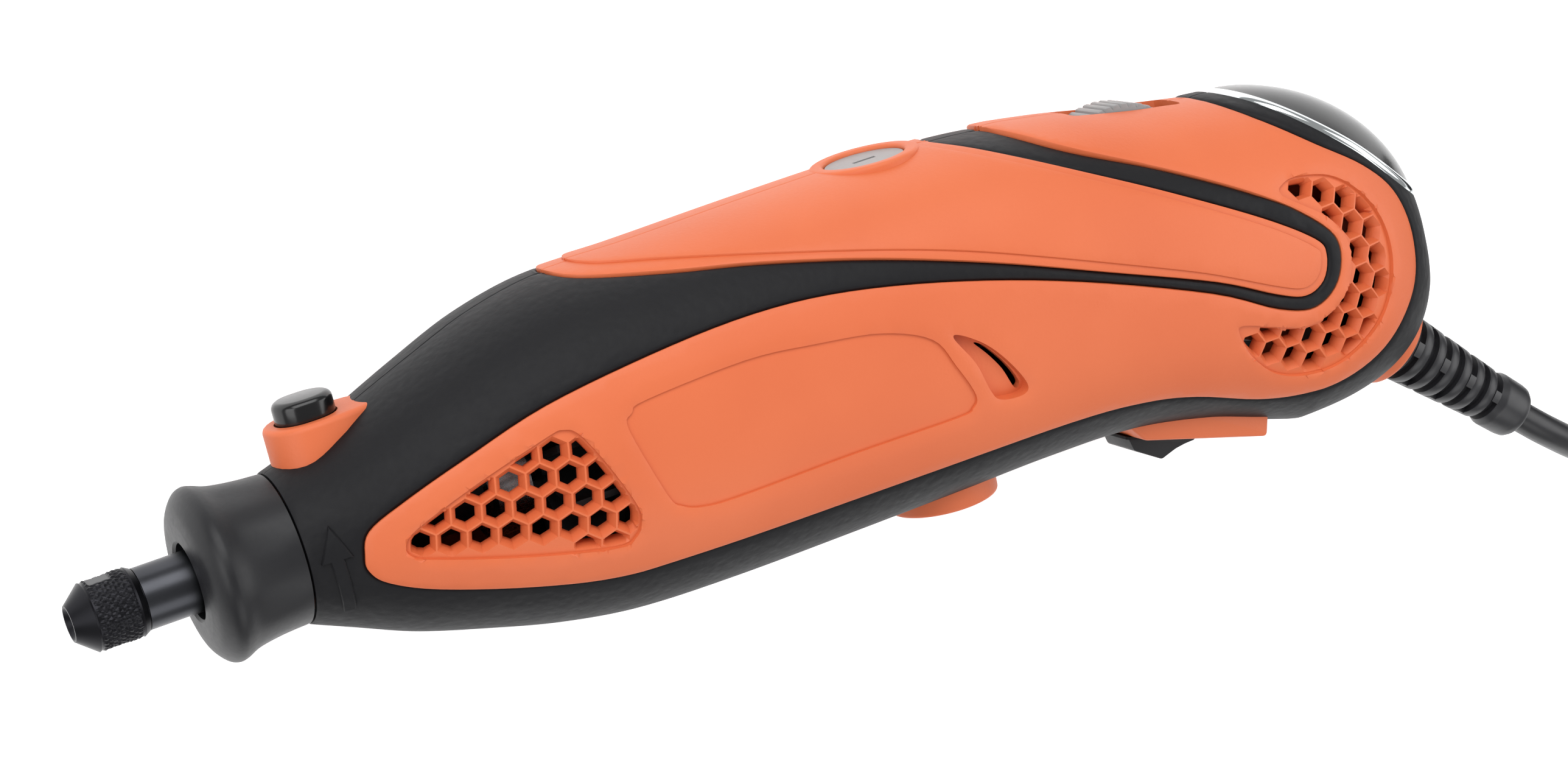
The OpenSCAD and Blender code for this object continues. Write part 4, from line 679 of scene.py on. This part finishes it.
under_grip, side_panel, upper_step, upper_field, lattice, label_floor, fang_floor = range(7)
HEIGHTS = {under_grip: -1.3, side_panel: 0.4, upper_step: 0.42, upper_field: 0.85, lattice: -0.45,
           label_floor: -0.28, fang_floor: -1.75}


def case_region(screwed):
    def region(at):
        p = on_case(at)
        flat = p[:, :2]
        out = np.full(len(p), under_grip)
        for area, kind in ((side_area, side_panel), (upper_area, upper_step), (field_area, upper_field)):
            out[within(area, flat)] = kind
        for outline, inner, (rows, turn) in zip(vents, vent_rims, lattices):
            out[within(outline, flat)] = lattice
            out[within(inner, flat) & (from_cell(flat, rows, turn) < hole_flat)] = -1
        out[within(label, flat)] = label_floor
        out[within(fang, flat)] = fang_floor
        out[within(fang_slit, flat) | opened(p, screwed)] = -1
        return out
    return region


def seam_rim(at):
    return rim(np.minimum(at[:, 1], belly_line - at[:, 1]), seam_r)


def case_height(kind, at, base):
    level = HEIGHTS[kind]
    if kind == side_panel:
        back = (np.clip((base[:, 1] - 17) / 6, 0, 1) * np.clip((base[:, 0] - 160) / 8, 0, 1)
                * np.clip((206 - base[:, 0]) / 10, 0, 1))
        return (level + 0.5 * back + rim(side_gap(base), side_rim) + rim(hollow_gap(base), hollow_rim)
                + seam_rim(at))
    if kind == upper_step:
        return level + rim(upper_gap(base), upper_rim) + seam_rim(at)
    if kind == upper_field:
        return level + rim(field_gap(base), field_rim) + seam_rim(at)
    drop = np.zeros(len(at))
    for inner, (rows, turn) in zip(vent_rims, lattices) if kind == lattice else ():
        sloped = np.clip((rib_flat - from_cell(base[:, :2], rows, turn)) / (rib_flat - hole_flat), 0, 1)
        drop = np.maximum(drop, np.where(within(drawn_in(inner, -0.02), base[:, :2]), sloped, 0))
    return level - 1.15 * drop


def mirrored(shape):
    bmesh.ops.scale(shape, vec=(1, 1, -1), verts=shape.verts)
    bmesh.ops.reverse_faces(shape, faces=shape.faces)
    return shape


# The colour is moulded right through; a fine matt grain gives broad, soft highlights.
orange_nylon = moulded("nylon 6, moulded, spark-eroded grain", "#d66d42", "#cf653b", 0.5, 0.45, 0.014, 0.4)
orange = orange_nylon, "orange_plastic"
case_lines = (border(side_line, (-crease, -side_rim, crease))
              + border(upper_line, (-crease, -upper_rim, crease, upper_rim))
              + border(field_line, (-crease, -field_rim, crease, field_rim))
              + border(label_line, (-crease, -hollow_rim)) + border(fang_line, (-crease, -hollow_rim))
              + parting + boss_lines + [slot_line, button_line])
for line in vent_lines:
    case_lines += border(line, (-crease, -hollow_rim))
case_lines += rim_lines + cells + [laid(fang_slit)]
HALVES = (("near", "right", False), ("far", "left", True))
for side, half, screwed in HALVES:
    shell = skin(case_lines + wells * screwed, case_region(screwed), case_height, -3.0)
    piece(mirrored(shell) if screwed else shell, f"case_{side}_half", orange, f"housing_{half}", sharp=32)

# Soft skin: black thermoplastic rubber, 1.4 mm thick, moulded over both shells round the panels, with
# a leather grain, a raised arrow for the way of turning, and a thicker band round the rear head.
arrow = np.array(ARROW, float)
arrow_line = laid(arrow, step=0.6)
arrow_gap = Near([arrow_line])
plain, raised = 0, 1


def grip_region(screwed):
    def region(at):
        p = on_case(at)
        flat = p[:, :2]
        out = np.full(len(p), plain)
        out[within(arrow, flat)] = raised
        out[within(side_area, flat) | within(upper_area, flat) | opened(p, screwed)] = -1
        return out
    return region


def grip_height(kind, at, base):
    edge = crease + rim(np.minimum(side_gap(base), upper_gap(base)), grip_rim)
    back = np.clip((base[:, 0] - 201) / 5, 0, 1) * np.clip((base[:, 1] + 34) / 14, 0, 1)
    front = rim(at[:, 0] - nose_end, 0.5)
    mark = 0.5 + rim(arrow_gap(base), 0.2) if kind == raised else 0
    return seam_rim(at) + edge + front + 0.6 * back + mark


# Soft rubber: nearly black, matt, with a leather grain of about a millimetre that breaks up highlights.
soft_rubber = moulded("thermoplastic rubber, leather grain", "#131316", "#0f0f12", 0.55, 1.3, 0.07, 0.22)
front_rows = [(np.stack([np.full(80, nose_end + d), np.linspace(0, belly_line, 80)], 1), False)
              for d in (0.15, 0.5)]
both_sides = (crease, side_rim, grip_rim, -crease, -side_rim, -grip_rim)
grip_lines = (border(side_line, both_sides) + border(upper_line, both_sides) + parting + boss_lines
              + [slot_line, button_line] + border(arrow_line, (0.2,)) + front_rows)
for side, half, screwed in HALVES:
    shell = skin(grip_lines + wells * screwed, grip_region(screwed), grip_height, -1.25)
    piece(mirrored(shell) if screwed else shell, f"grip_{side}_half", (soft_rubber, "soft_black"),
          f"grip_{half}", sharp=32)


# Brush bosses: two orange turrets of the case, on its back and its belly, that take the brush caps.
def turned(profile, steps=96):
    """A piece turned round Z from the (radius, height) points of a closed profile."""
    shape = bmesh.new()
    rims = [shape.verts.new((r, 0, h)) for r, h in profile]
    edges = [shape.edges.new(pair) for pair in zip(rims, rims[1:])] + [shape.edges.new((rims[-1], rims[0]))]
    bmesh.ops.spin(shape, geom=rims + edges, cent=(0, 0, 0), axis=(0, 0, 1), angle=2 * math.pi, steps=steps,
                   use_merge=True)
    bmesh.ops.remove_doubles(shape, verts=shape.verts, dist=1e-4)
    return outward(shape)


def framed(x, y, degrees, axis):
    """A place on the plane between the halves, and a turn about an axis there."""
    return Matrix.Translation((x, y, 0)) @ Matrix.Rotation(math.radians(degrees), 4, axis)


for name, side in (("brush_boss_top", 1), ("brush_boss_bottom", -1)):
    turret = turned(eased([(6.75, 22), (6.75, 29.5), (9.1, 29.5), (9.3, 22)], 0.7, 5))
    piece(turret, name, orange, place=framed(boss_x, 0, -90 * side, "X"))


# Screw posts: round towers inside both halves, in line with the seven screws; the far ones are open
# wells that the screw heads sit in.
def under_skin(shape, x, y, gap):
    """Cuts a post at x, y down to lie gap mm inside the case's face."""
    deep = on_case(seen_at([(x + v.co.x, y + v.co.y) for v in shape.verts]))[:, 2] - gap
    for v, most in zip(shape.verts, deep):
        v.co.z = max(-most, min(most, v.co.z))
    return shape


POST = [(1.6, 0.4), (3.4, 0.2), (3.5, 30), (1.6, 30)]
WELL = [(2.75, -12), (2.75, -30), (3.5, -30), (3.4, -0.2), (1.65, -0.2), (1.65, -12)]
for i, (x, y) in enumerate(SCREWS):
    for half, profile, gap in (("near", POST, 2), ("far", WELL, 1.5)):
        tower = under_skin(turned(profile, 32), x, y, gap)
        piece(tower, f"post_{half}_{i + 1}", orange, place=framed(x, y, 0, "Z"))

# Nose cap: a moulded satin ring that screws on over the collet, with shallow finger flats behind its
# flare.
satin_nylon = moulded("nylon 6, glass-filled, satin", "#1a1a1d", "#161619", 0.42, 0.7, 0.008, 0.35)
cap_x, flats_low, flats_long, cap_end = 19.0, 4.7, 9.6, 15.3
flare = smooth_outline([(9, 0.1), (11.4, 0.7), (13.3, 2.1), (13.95, 3.4), (13.75, flats_low), (12.95, 7),
                        (12.35, 11), (12, cap_end)], False)
bore = [(9.6, cap_end), (9.6, 8.2), (6.1, 8.2)]
cap_shape = turned([(6.1, 0.45), (6.5, 0.05), *[tuple(p) for p in flare], *bore], 192)
for v in cap_shape.verts:
    if math.hypot(v.co.x, v.co.y) > 11 and flats_low < v.co.z < cap_end:
        grip = math.sin(math.pi * min(1, (v.co.z - flats_low) / flats_long)) ** 0.8
        lobe = 0.5 - 0.5 * math.cos(8 * math.atan2(v.co.y, v.co.x))
        scale = 1 - 0.012 * grip * lobe ** 2
        v.co.x *= scale
        v.co.y *= scale
piece(cap_shape, "nose_cap_turned", (satin_nylon, "black_plastic"), "nose_cap", framed(cap_x, 0, 90, "Y"),
      "nose_cap", 40)


# Collet nut: blackened steel, a cone in front, two wrench flats and a rolled diamond knurl 0.28 mm deep.
def worked_metal(name, colour, shade, low, high, stretch=(1, 1, 1), depth=0.002):
    """A metal with fine tool marks: stretch draws them out along an axis."""
    material, tree = empty_material(name)
    where = node(tree, "TexCoord").outputs["Object"]
    drawn_out = node(tree, "Mapping", {"Vector": where, "Scale": stretch})
    marks = node(tree, "TexNoise", {"Vector": drawn_out.outputs[0], "Scale": 1500.0, "Detail": 3.0})
    cloud = node(tree, "TexNoise", {"Vector": where, "Scale": 120.0, "Detail": 2.0})
    tint = node(tree, "Mix", {
        "Factor": cloud.outputs["Fac"], "A": linear(shade), "B": linear(colour)}, data_type="RGBA")
    gloss = node(tree, "MapRange", {"Value": marks.outputs["Fac"], "To Min": low, "To Max": high})
    bump = node(tree, "Bump", {"Height": marks.outputs["Fac"], "Distance": depth / 1000})
    metal = node(tree, "BsdfPrincipled", {
        "Base Color": tint.outputs["Result"], "Metallic": 1.0, "Roughness": gloss.outputs[0],
        "Normal": bump.outputs[0]})
    node(tree, "OutputMaterial", {"Surface": metal.outputs[0]})
    return material


black_oxide = worked_metal("steel, black oxide, knurled", "#2c2c2f", "#232326", 0.3, 0.42, (1, 6, 6))
nut_front = [(2.6, 0), (2.9, 0), (5.45, 3.0), (5.3, 3.3), (5.3, 3.5)]
nut_band = [(5.45, 3.5 + 0.21 * k) for k in range(1, 30)]
nut_rear = [(5.3, 9.8), (5.5, 10.1), (5.0, 11), (4.35, 11), (4.35, 4.2), (3.1, 4.2), (3.1, 3.2), (1.95, 1.1),
            (1.95, 0.8)]
nut_shape = turned(nut_front + nut_band + nut_rear, 240)
teeth, lean, knurl_r, knurl_depth, flat_half = 34, 0.14, 5.32, 0.28, 5.1
for v in nut_shape.verts:
    r, turn = math.hypot(v.co.x, v.co.y), math.atan2(v.co.y, v.co.x)
    if r > 5.2 and 3.6 < v.co.z < 9.7:
        ups = [abs(((teeth * (turn + s * (v.co.z * lean)) / (2 * math.pi)) % 1) - 0.5) * 2 for s in (-1, 1)]
        r = knurl_r + knurl_depth * min(ups)
        v.co.x, v.co.y = r * math.cos(turn), r * math.sin(turn)
    if 4.0 < v.co.z < 7.6 and abs(v.co.y) > flat_half:
        v.co.y = math.copysign(flat_half, v.co.y)
piece(nut_shape, "collet_nut_knurled", (black_oxide, "dark_steel"), "collet_nut", framed(0, 0, 90, "Y"),
      "collet_nut", 25)

# Spindle lock: an orange block on the nose with a tail that runs out on the grip, and a gloss black
# button in it, rounded at its rim.
gloss_abs = moulded("ABS, moulded, polished", "#0d0d0f", "#0b0b0c", 0.2, 0.6, 0.002)
lock_frame = framed(lock_x, 0, -90, "X")
block_low, block_high = 6, 18.4
tail = [(0.8, -6.3), (4, -6.1), (8, -5.2), (12, -3), (14.2, -0.5), (14.2, 0.5), (12, 3), (8, 5.2), (4, 6.1)]
block_outline = [(0.8, 6.3), *[p for p in round_ended(14, 12.6) if p[0] < 0.5], *tail]
block = slab(block_outline, block_low, block_high, 0.9, 0, 4)
mouth = []
for level in (block_high, block_low):
    ends = (f for f in block.faces if abs(f.calc_center_median().z - level) < 0.01)
    plate = max(ends, key=lambda f: f.calc_area())
    outer = list(plate.edges)
    bmesh.ops.delete(block, geom=[plate], context="FACES_ONLY")
    hole = [block.verts.new((x, y, level)) for x, y in round_ended(10.1, 8.7)]
    inner = [block.edges.new((hole[i], hole[(i + 1) % len(hole)])) for i in range(len(hole))]
    bmesh.ops.bridge_loops(block, edges=outer + inner)
    mouth += inner
bmesh.ops.bridge_loops(block, edges=mouth)
piece(outward(block), "lock_block", orange, place=lock_frame)
piece(slab(round_ended(9.6, 8.2), 17.5, 21.8, 1.1, 0.3, 5), "lock_button_moulded", (gloss_abs, "black_plastic"),
      "lock_button", lock_frame, "lock_button")

# Speed dial: a grey thumbwheel in a slot of the back, ribbed on its rim.
grey_abs = moulded("ABS, moulded, grey", "#8d8c8c", "#868585", 0.4, 0.6, 0.006)
dial_low, dial_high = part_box("speed_dial")
dial_mid = tool_frame.inverted() @ ((dial_low + dial_high) / 2)
ribs, wheel_r, rib_depth = 52, 13, 0.55
RIB = ((0, 1), (0.2, 0.15), (0.35, 0), (0.65, 0), (0.8, 0.15))
wheel = [((wheel_r - rib_depth * dip) * math.cos(a), (wheel_r - rib_depth * dip) * math.sin(a))
         for a, dip in ((2 * math.pi * (i + part) / ribs, dip) for i in range(ribs) for part, dip in RIB)]
piece(slab(wheel, -4, 4, 0.35, 0.35, 2), "speed_dial_ribbed", (grey_abs, "black_plastic"), "speed_dial",
      Matrix.Translation((dial_mid.x, dial_mid.y, 0)), "speed_dial", 30)

# Switch: an orange pad under the rear of the belly and a black wedge that slides on it, creased across
# its middle for the finger.
pad_frame = framed(176, -28.9, -16.7, "Z")
pad_shape = slab(eased([(-2.4, 8), (-2.4, 3), (1.6, 0), (25.4, 0), (25.4, 8)], 0.8), -9, 9, 1.2, 1.2, 4)
piece(pad_shape, "switch_pad", orange, place=pad_frame)
slot_shape = slab(eased([(0.6, -4.7), (21.2, -4.7), (21.2, 4.7), (0.6, 4.7)], 0.8, 3), -0.06, 0.4)
piece(slot_shape, "switch_slot", (soft_rubber, "black_plastic"),
      place=pad_frame @ Matrix.Rotation(math.radians(90), 4, "X"))
wedge = [(1, -0.3), (2.2, -2.3), (7.6, -3.9), (10.2, -2.2), (12, -1.4), (13.8, -0.8), (13.8, -0.3)]
lever_shape = slab(eased(wedge, 0.35, 3), -4.5, 4.5, 0.5, 0.5)
add_to(lever_shape, slab([(4, -0.4), (8, -0.4), (8, 5), (4, 5)], -2, 2))
piece(lever_shape, "switch_slider_wedge", (satin_nylon, "black_plastic"), "switch_slider", pad_frame,
      "switch_slider")

# Gland: the case's round outlet for the lead, which holds the flange of the strain relief.
relief_frame = (Matrix.Translation(relief_start) @ Matrix.Rotation(relief_turn, 4, "Z")
                @ Matrix.Rotation(math.radians(90), 4, "Y"))
gland_shape = turned(eased([(6.6, -12), (6.6, -5), (8.3, -5), (9.2, -12)], 0.9, 5))
piece(gland_shape, "relief_gland", orange, place=relief_frame)

# Strain relief: a tapered sleeve of soft black PVC with seven rows of slots, each row two arcs with a
# bridge between them, turned a quarter from row to row, and a smooth rounded collar at its end.
relief_pvc = moulded("PVC, soft, moulded", "#232326", "#1d1d20", 0.38, 0.8, 0.01, 0.5)
slot_starts, slot_high, slot_depth = [-3.4 + 3.3 * k for k in range(7)], 1.47, 1.25
sleeve = [(6.3, -6.5)]
for start in slot_starts:
    for rise in (-0.25, 0, 0.02, 1.45, slot_high, 1.72):
        h = start + rise
        sleeve.append((6.3 - 0.068 * (h + 6) - (0.15 if rise in (0, slot_high) else 0), h))
collar = [(4.75, 18.6), (5.0, 19), (5.05, 19.5), (4.95, 23.2), (4.8, 24.2), (4.4, 24.8), (3.8, 25)]
sleeve_shape = turned(sleeve + collar + [(2.85, 25), (2.85, -6.5)], 144)
for v in sleeve_shape.verts:
    r, turn = math.hypot(v.co.x, v.co.y), math.degrees(math.atan2(v.co.y, v.co.x))
    for k, start in enumerate(slot_starts):
        bridge = abs((turn + 90 * (k % 2)) % 180 - 90) > 76
        if r > 4 and start + 0.01 < v.co.z < start + 1.46 and not bridge:
            v.co.x *= (r - slot_depth) / r
            v.co.y *= (r - slot_depth) / r
piece(sleeve_shape, "strain_relief_slotted", (relief_pvc, "soft_black"), "strain_relief", relief_frame,
      sharp=35)

# Badge: a bright chromed ring round a plain gloss black field, on the back of the rear head.
chrome = plated("chrome plate on ABS, bright", "#d5dadb", 300.0, 0.05, 0.12)
badge_mid, badge_way, badge_half = np.array([224.05, 7.55]), np.array([0.762, -0.648]), (20.2, 15.3)
head_places = np.linspace(190, far_end, 500)


def on_badge(reach, turn, height):
    """A point over the head: reach from 0 at the badge's middle to 1 at its rim, turn round it."""
    along, z = (reach * half * math.copysign(abs(c) ** 0.9, c)
                for half, c in zip(badge_half, (math.cos(turn), math.sin(turn))))
    rows = from_above(np.stack([head_x(head_places), np.full(500, abs(z) + 1e-4)], 1))
    rows[:, 0] = head_places
    where_on = (on_case(rows)[:, :2] - badge_mid) @ badge_way
    at = np.array([[np.interp(along, where_on, rows[:, 0]), np.interp(along, where_on, rows[:, 1])]])
    side = (1, 1, 1 if z >= 0 else -1)
    spot, up = on_case(at)[0] * side, normals_at(at)[0] * side
    return Vector(spot + up * height), Vector(up)


def turns(count, shift=0.0):
    return [2 * math.pi * (k + shift) / count for k in range(count)]


ring_steps, ring_sides, ring_half, ring_high = 120, 12, 1.05, 0.9
ring_spots = [on_badge(1, a, 0) for a in turns(ring_steps, 0.5)]
ring_shape = bmesh.new()
rings = []
for i, (spot, up) in enumerate(ring_spots):
    side = up.cross(ring_spots[(i + 1) % ring_steps][0] - ring_spots[i - 1][0]).normalized()
    section = [(ring_half * math.cos(a), 0.35 + ring_high * math.sin(a)) for a in turns(ring_sides)]
    rings.append([ring_shape.verts.new(spot + side * out + up * rise) for out, rise in section])
for these, those in zip(rings, rings[1:] + rings[:1]):
    for k in range(ring_sides):
        ring_shape.faces.new((these[k], those[k], those[(k + 1) % ring_sides], these[(k + 1) % ring_sides]))
piece(outward(ring_shape), "badge_ring", (chrome, "chrome"), "badge_trim", sharp=60)
field_steps = 72
field_shape = bmesh.new()
hub = field_shape.verts.new(on_badge(0, 0.3, 1.25)[0])
grid = [[field_shape.verts.new(on_badge(r, a, 0.55 + 0.7 * (1 - r ** 2) ** 0.6)[0])
         for a in turns(field_steps, 0.5)] for r in np.linspace(0.06, 0.95, 18)]
for k in range(field_steps):
    after = (k + 1) % field_steps
    field_shape.faces.new((hub, grid[0][k], grid[0][after]))
    for a, b in zip(grid, grid[1:]):
        field_shape.faces.new((a[k], b[k], b[after], a[after]))
outward(field_shape)
bmesh.ops.solidify(field_shape, geom=field_shape.faces[:], thickness=1.2)
piece(field_shape, "badge_field", (gloss_abs, "gloss_black"), "badge_insert", sharp=50)

# Works: bought and turned parts inside the case, seen through the vents, and the brush caps. Each keeps
# its own solid and takes the finish of its stuff.
ground_steel = worked_metal("steel, ground", "#b9bbbd", "#a9abad", 0.2, 0.34, (1, 8, 8))
for finish, names in (
    (ground_steel, "spindle_bearing_front spindle_bearing_rear lock_pin motor_shaft motor_bearing_front "
                   "motor_bearing_rear dial_shaft screw_1 screw_2 screw_3 screw_4 screw_5 screw_6 screw_7"),
    (worked_metal("steel, turned, darkened", "#4a4b4f", "#3e3f43", 0.26, 0.38, (1, 8, 8)), "spindle"),
    (worked_metal("silicon steel, stacked laminations", "#77787b", "#5c5d60", 0.4, 0.6, (12, 1, 1), 0.02),
     "armature_core field_core"),
    (worked_metal("copper wire, enamelled", "#b0683a", "#8f4f28", 0.3, 0.45, (8, 1, 1), 0.03),
     "armature_windings field_coil_left field_coil_right"),
    (worked_metal("brass, stamped", "#c9a24f", "#b8923f", 0.24, 0.36),
     "collet brush_holder_top brush_holder_bottom"),
    (worked_metal("copper, turned", "#c77b4f", "#b46a40", 0.24, 0.36, (1, 8, 8)), "commutator"),
    (satin_nylon, "bearing_carrier drive_coupler switch_body cord_clamp"),
    (moulded("nylon 6, fan", "#2a2b2e", "#252628", 0.5, 0.6, 0.01), "cooling_fan"),
    (moulded("carbon, pressed", "#2e2e30", "#262628", 0.6, 0.5, 0.01), "brush_top brush_bottom"),
    (grey_abs, "brush_cap_top brush_cap_bottom"),
    (moulded("glass epoxy board, green lacquer", "#2b6a3f", "#245a36", 0.36, 1.0, 0.004), "control_board"),
    (moulded("epoxy resin, blue", "#2c4f92", "#264680", 0.36, 0.8, 0.004), "potentiometer"),
    (moulded("polypropylene film capacitor, yellow", "#caa63a", "#bb982f", 0.38, 0.8, 0.004), "suppressor"),
):
    for name in names.split():
        finished(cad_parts[name], finish)


# Springs: wound steel wire under the lock button and behind both brushes.
def wound_spring(reach, low, high):
    coils, wire = 7, 0.3
    shape = bmesh.new()
    start = Matrix.Translation((reach, 0, low + wire)) @ Matrix.Rotation(math.pi / 2, 4, "X")
    bmesh.ops.create_circle(shape, cap_ends=False, radius=wire, segments=8, matrix=start)
    steps = 24 * coils
    bmesh.ops.spin(shape, geom=shape.verts[:] + shape.edges[:], cent=(0, 0, 0), axis=(0, 0, 1),
                   angle=2 * math.pi * coils, dvec=(0, 0, (high - low - 2 * wire) / steps), steps=steps)
    bmesh.ops.holes_fill(shape, edges=shape.edges, sides=8)
    return outward(shape)


brush_low, brush_high = 18.9, 25.8
for name, place, reach, low_end, high_end, joint, fixed, stroke in (
    ("lock_spring", lock_frame, 2.37, 9.4, 17.3, "lock_button_press", (lock_x, 9.4, 0), 2.6),
    ("brush_spring_top", framed(boss_x, 0, -90, "X"), 1.9, brush_low, brush_high, "brush_top_lift",
     (boss_x, brush_high, 0), 1.8),
    ("brush_spring_bottom", framed(boss_x, 0, 90, "X"), 1.9, brush_low, brush_high, "brush_bottom_lift",
     (boss_x, -brush_high, 0), 1.8),
):
    wire_shape = wound_spring(reach, low_end, high_end)
    spring = piece(wire_shape, name + "_wound", (ground_steel, "steel"), name, place)
    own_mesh(spring)
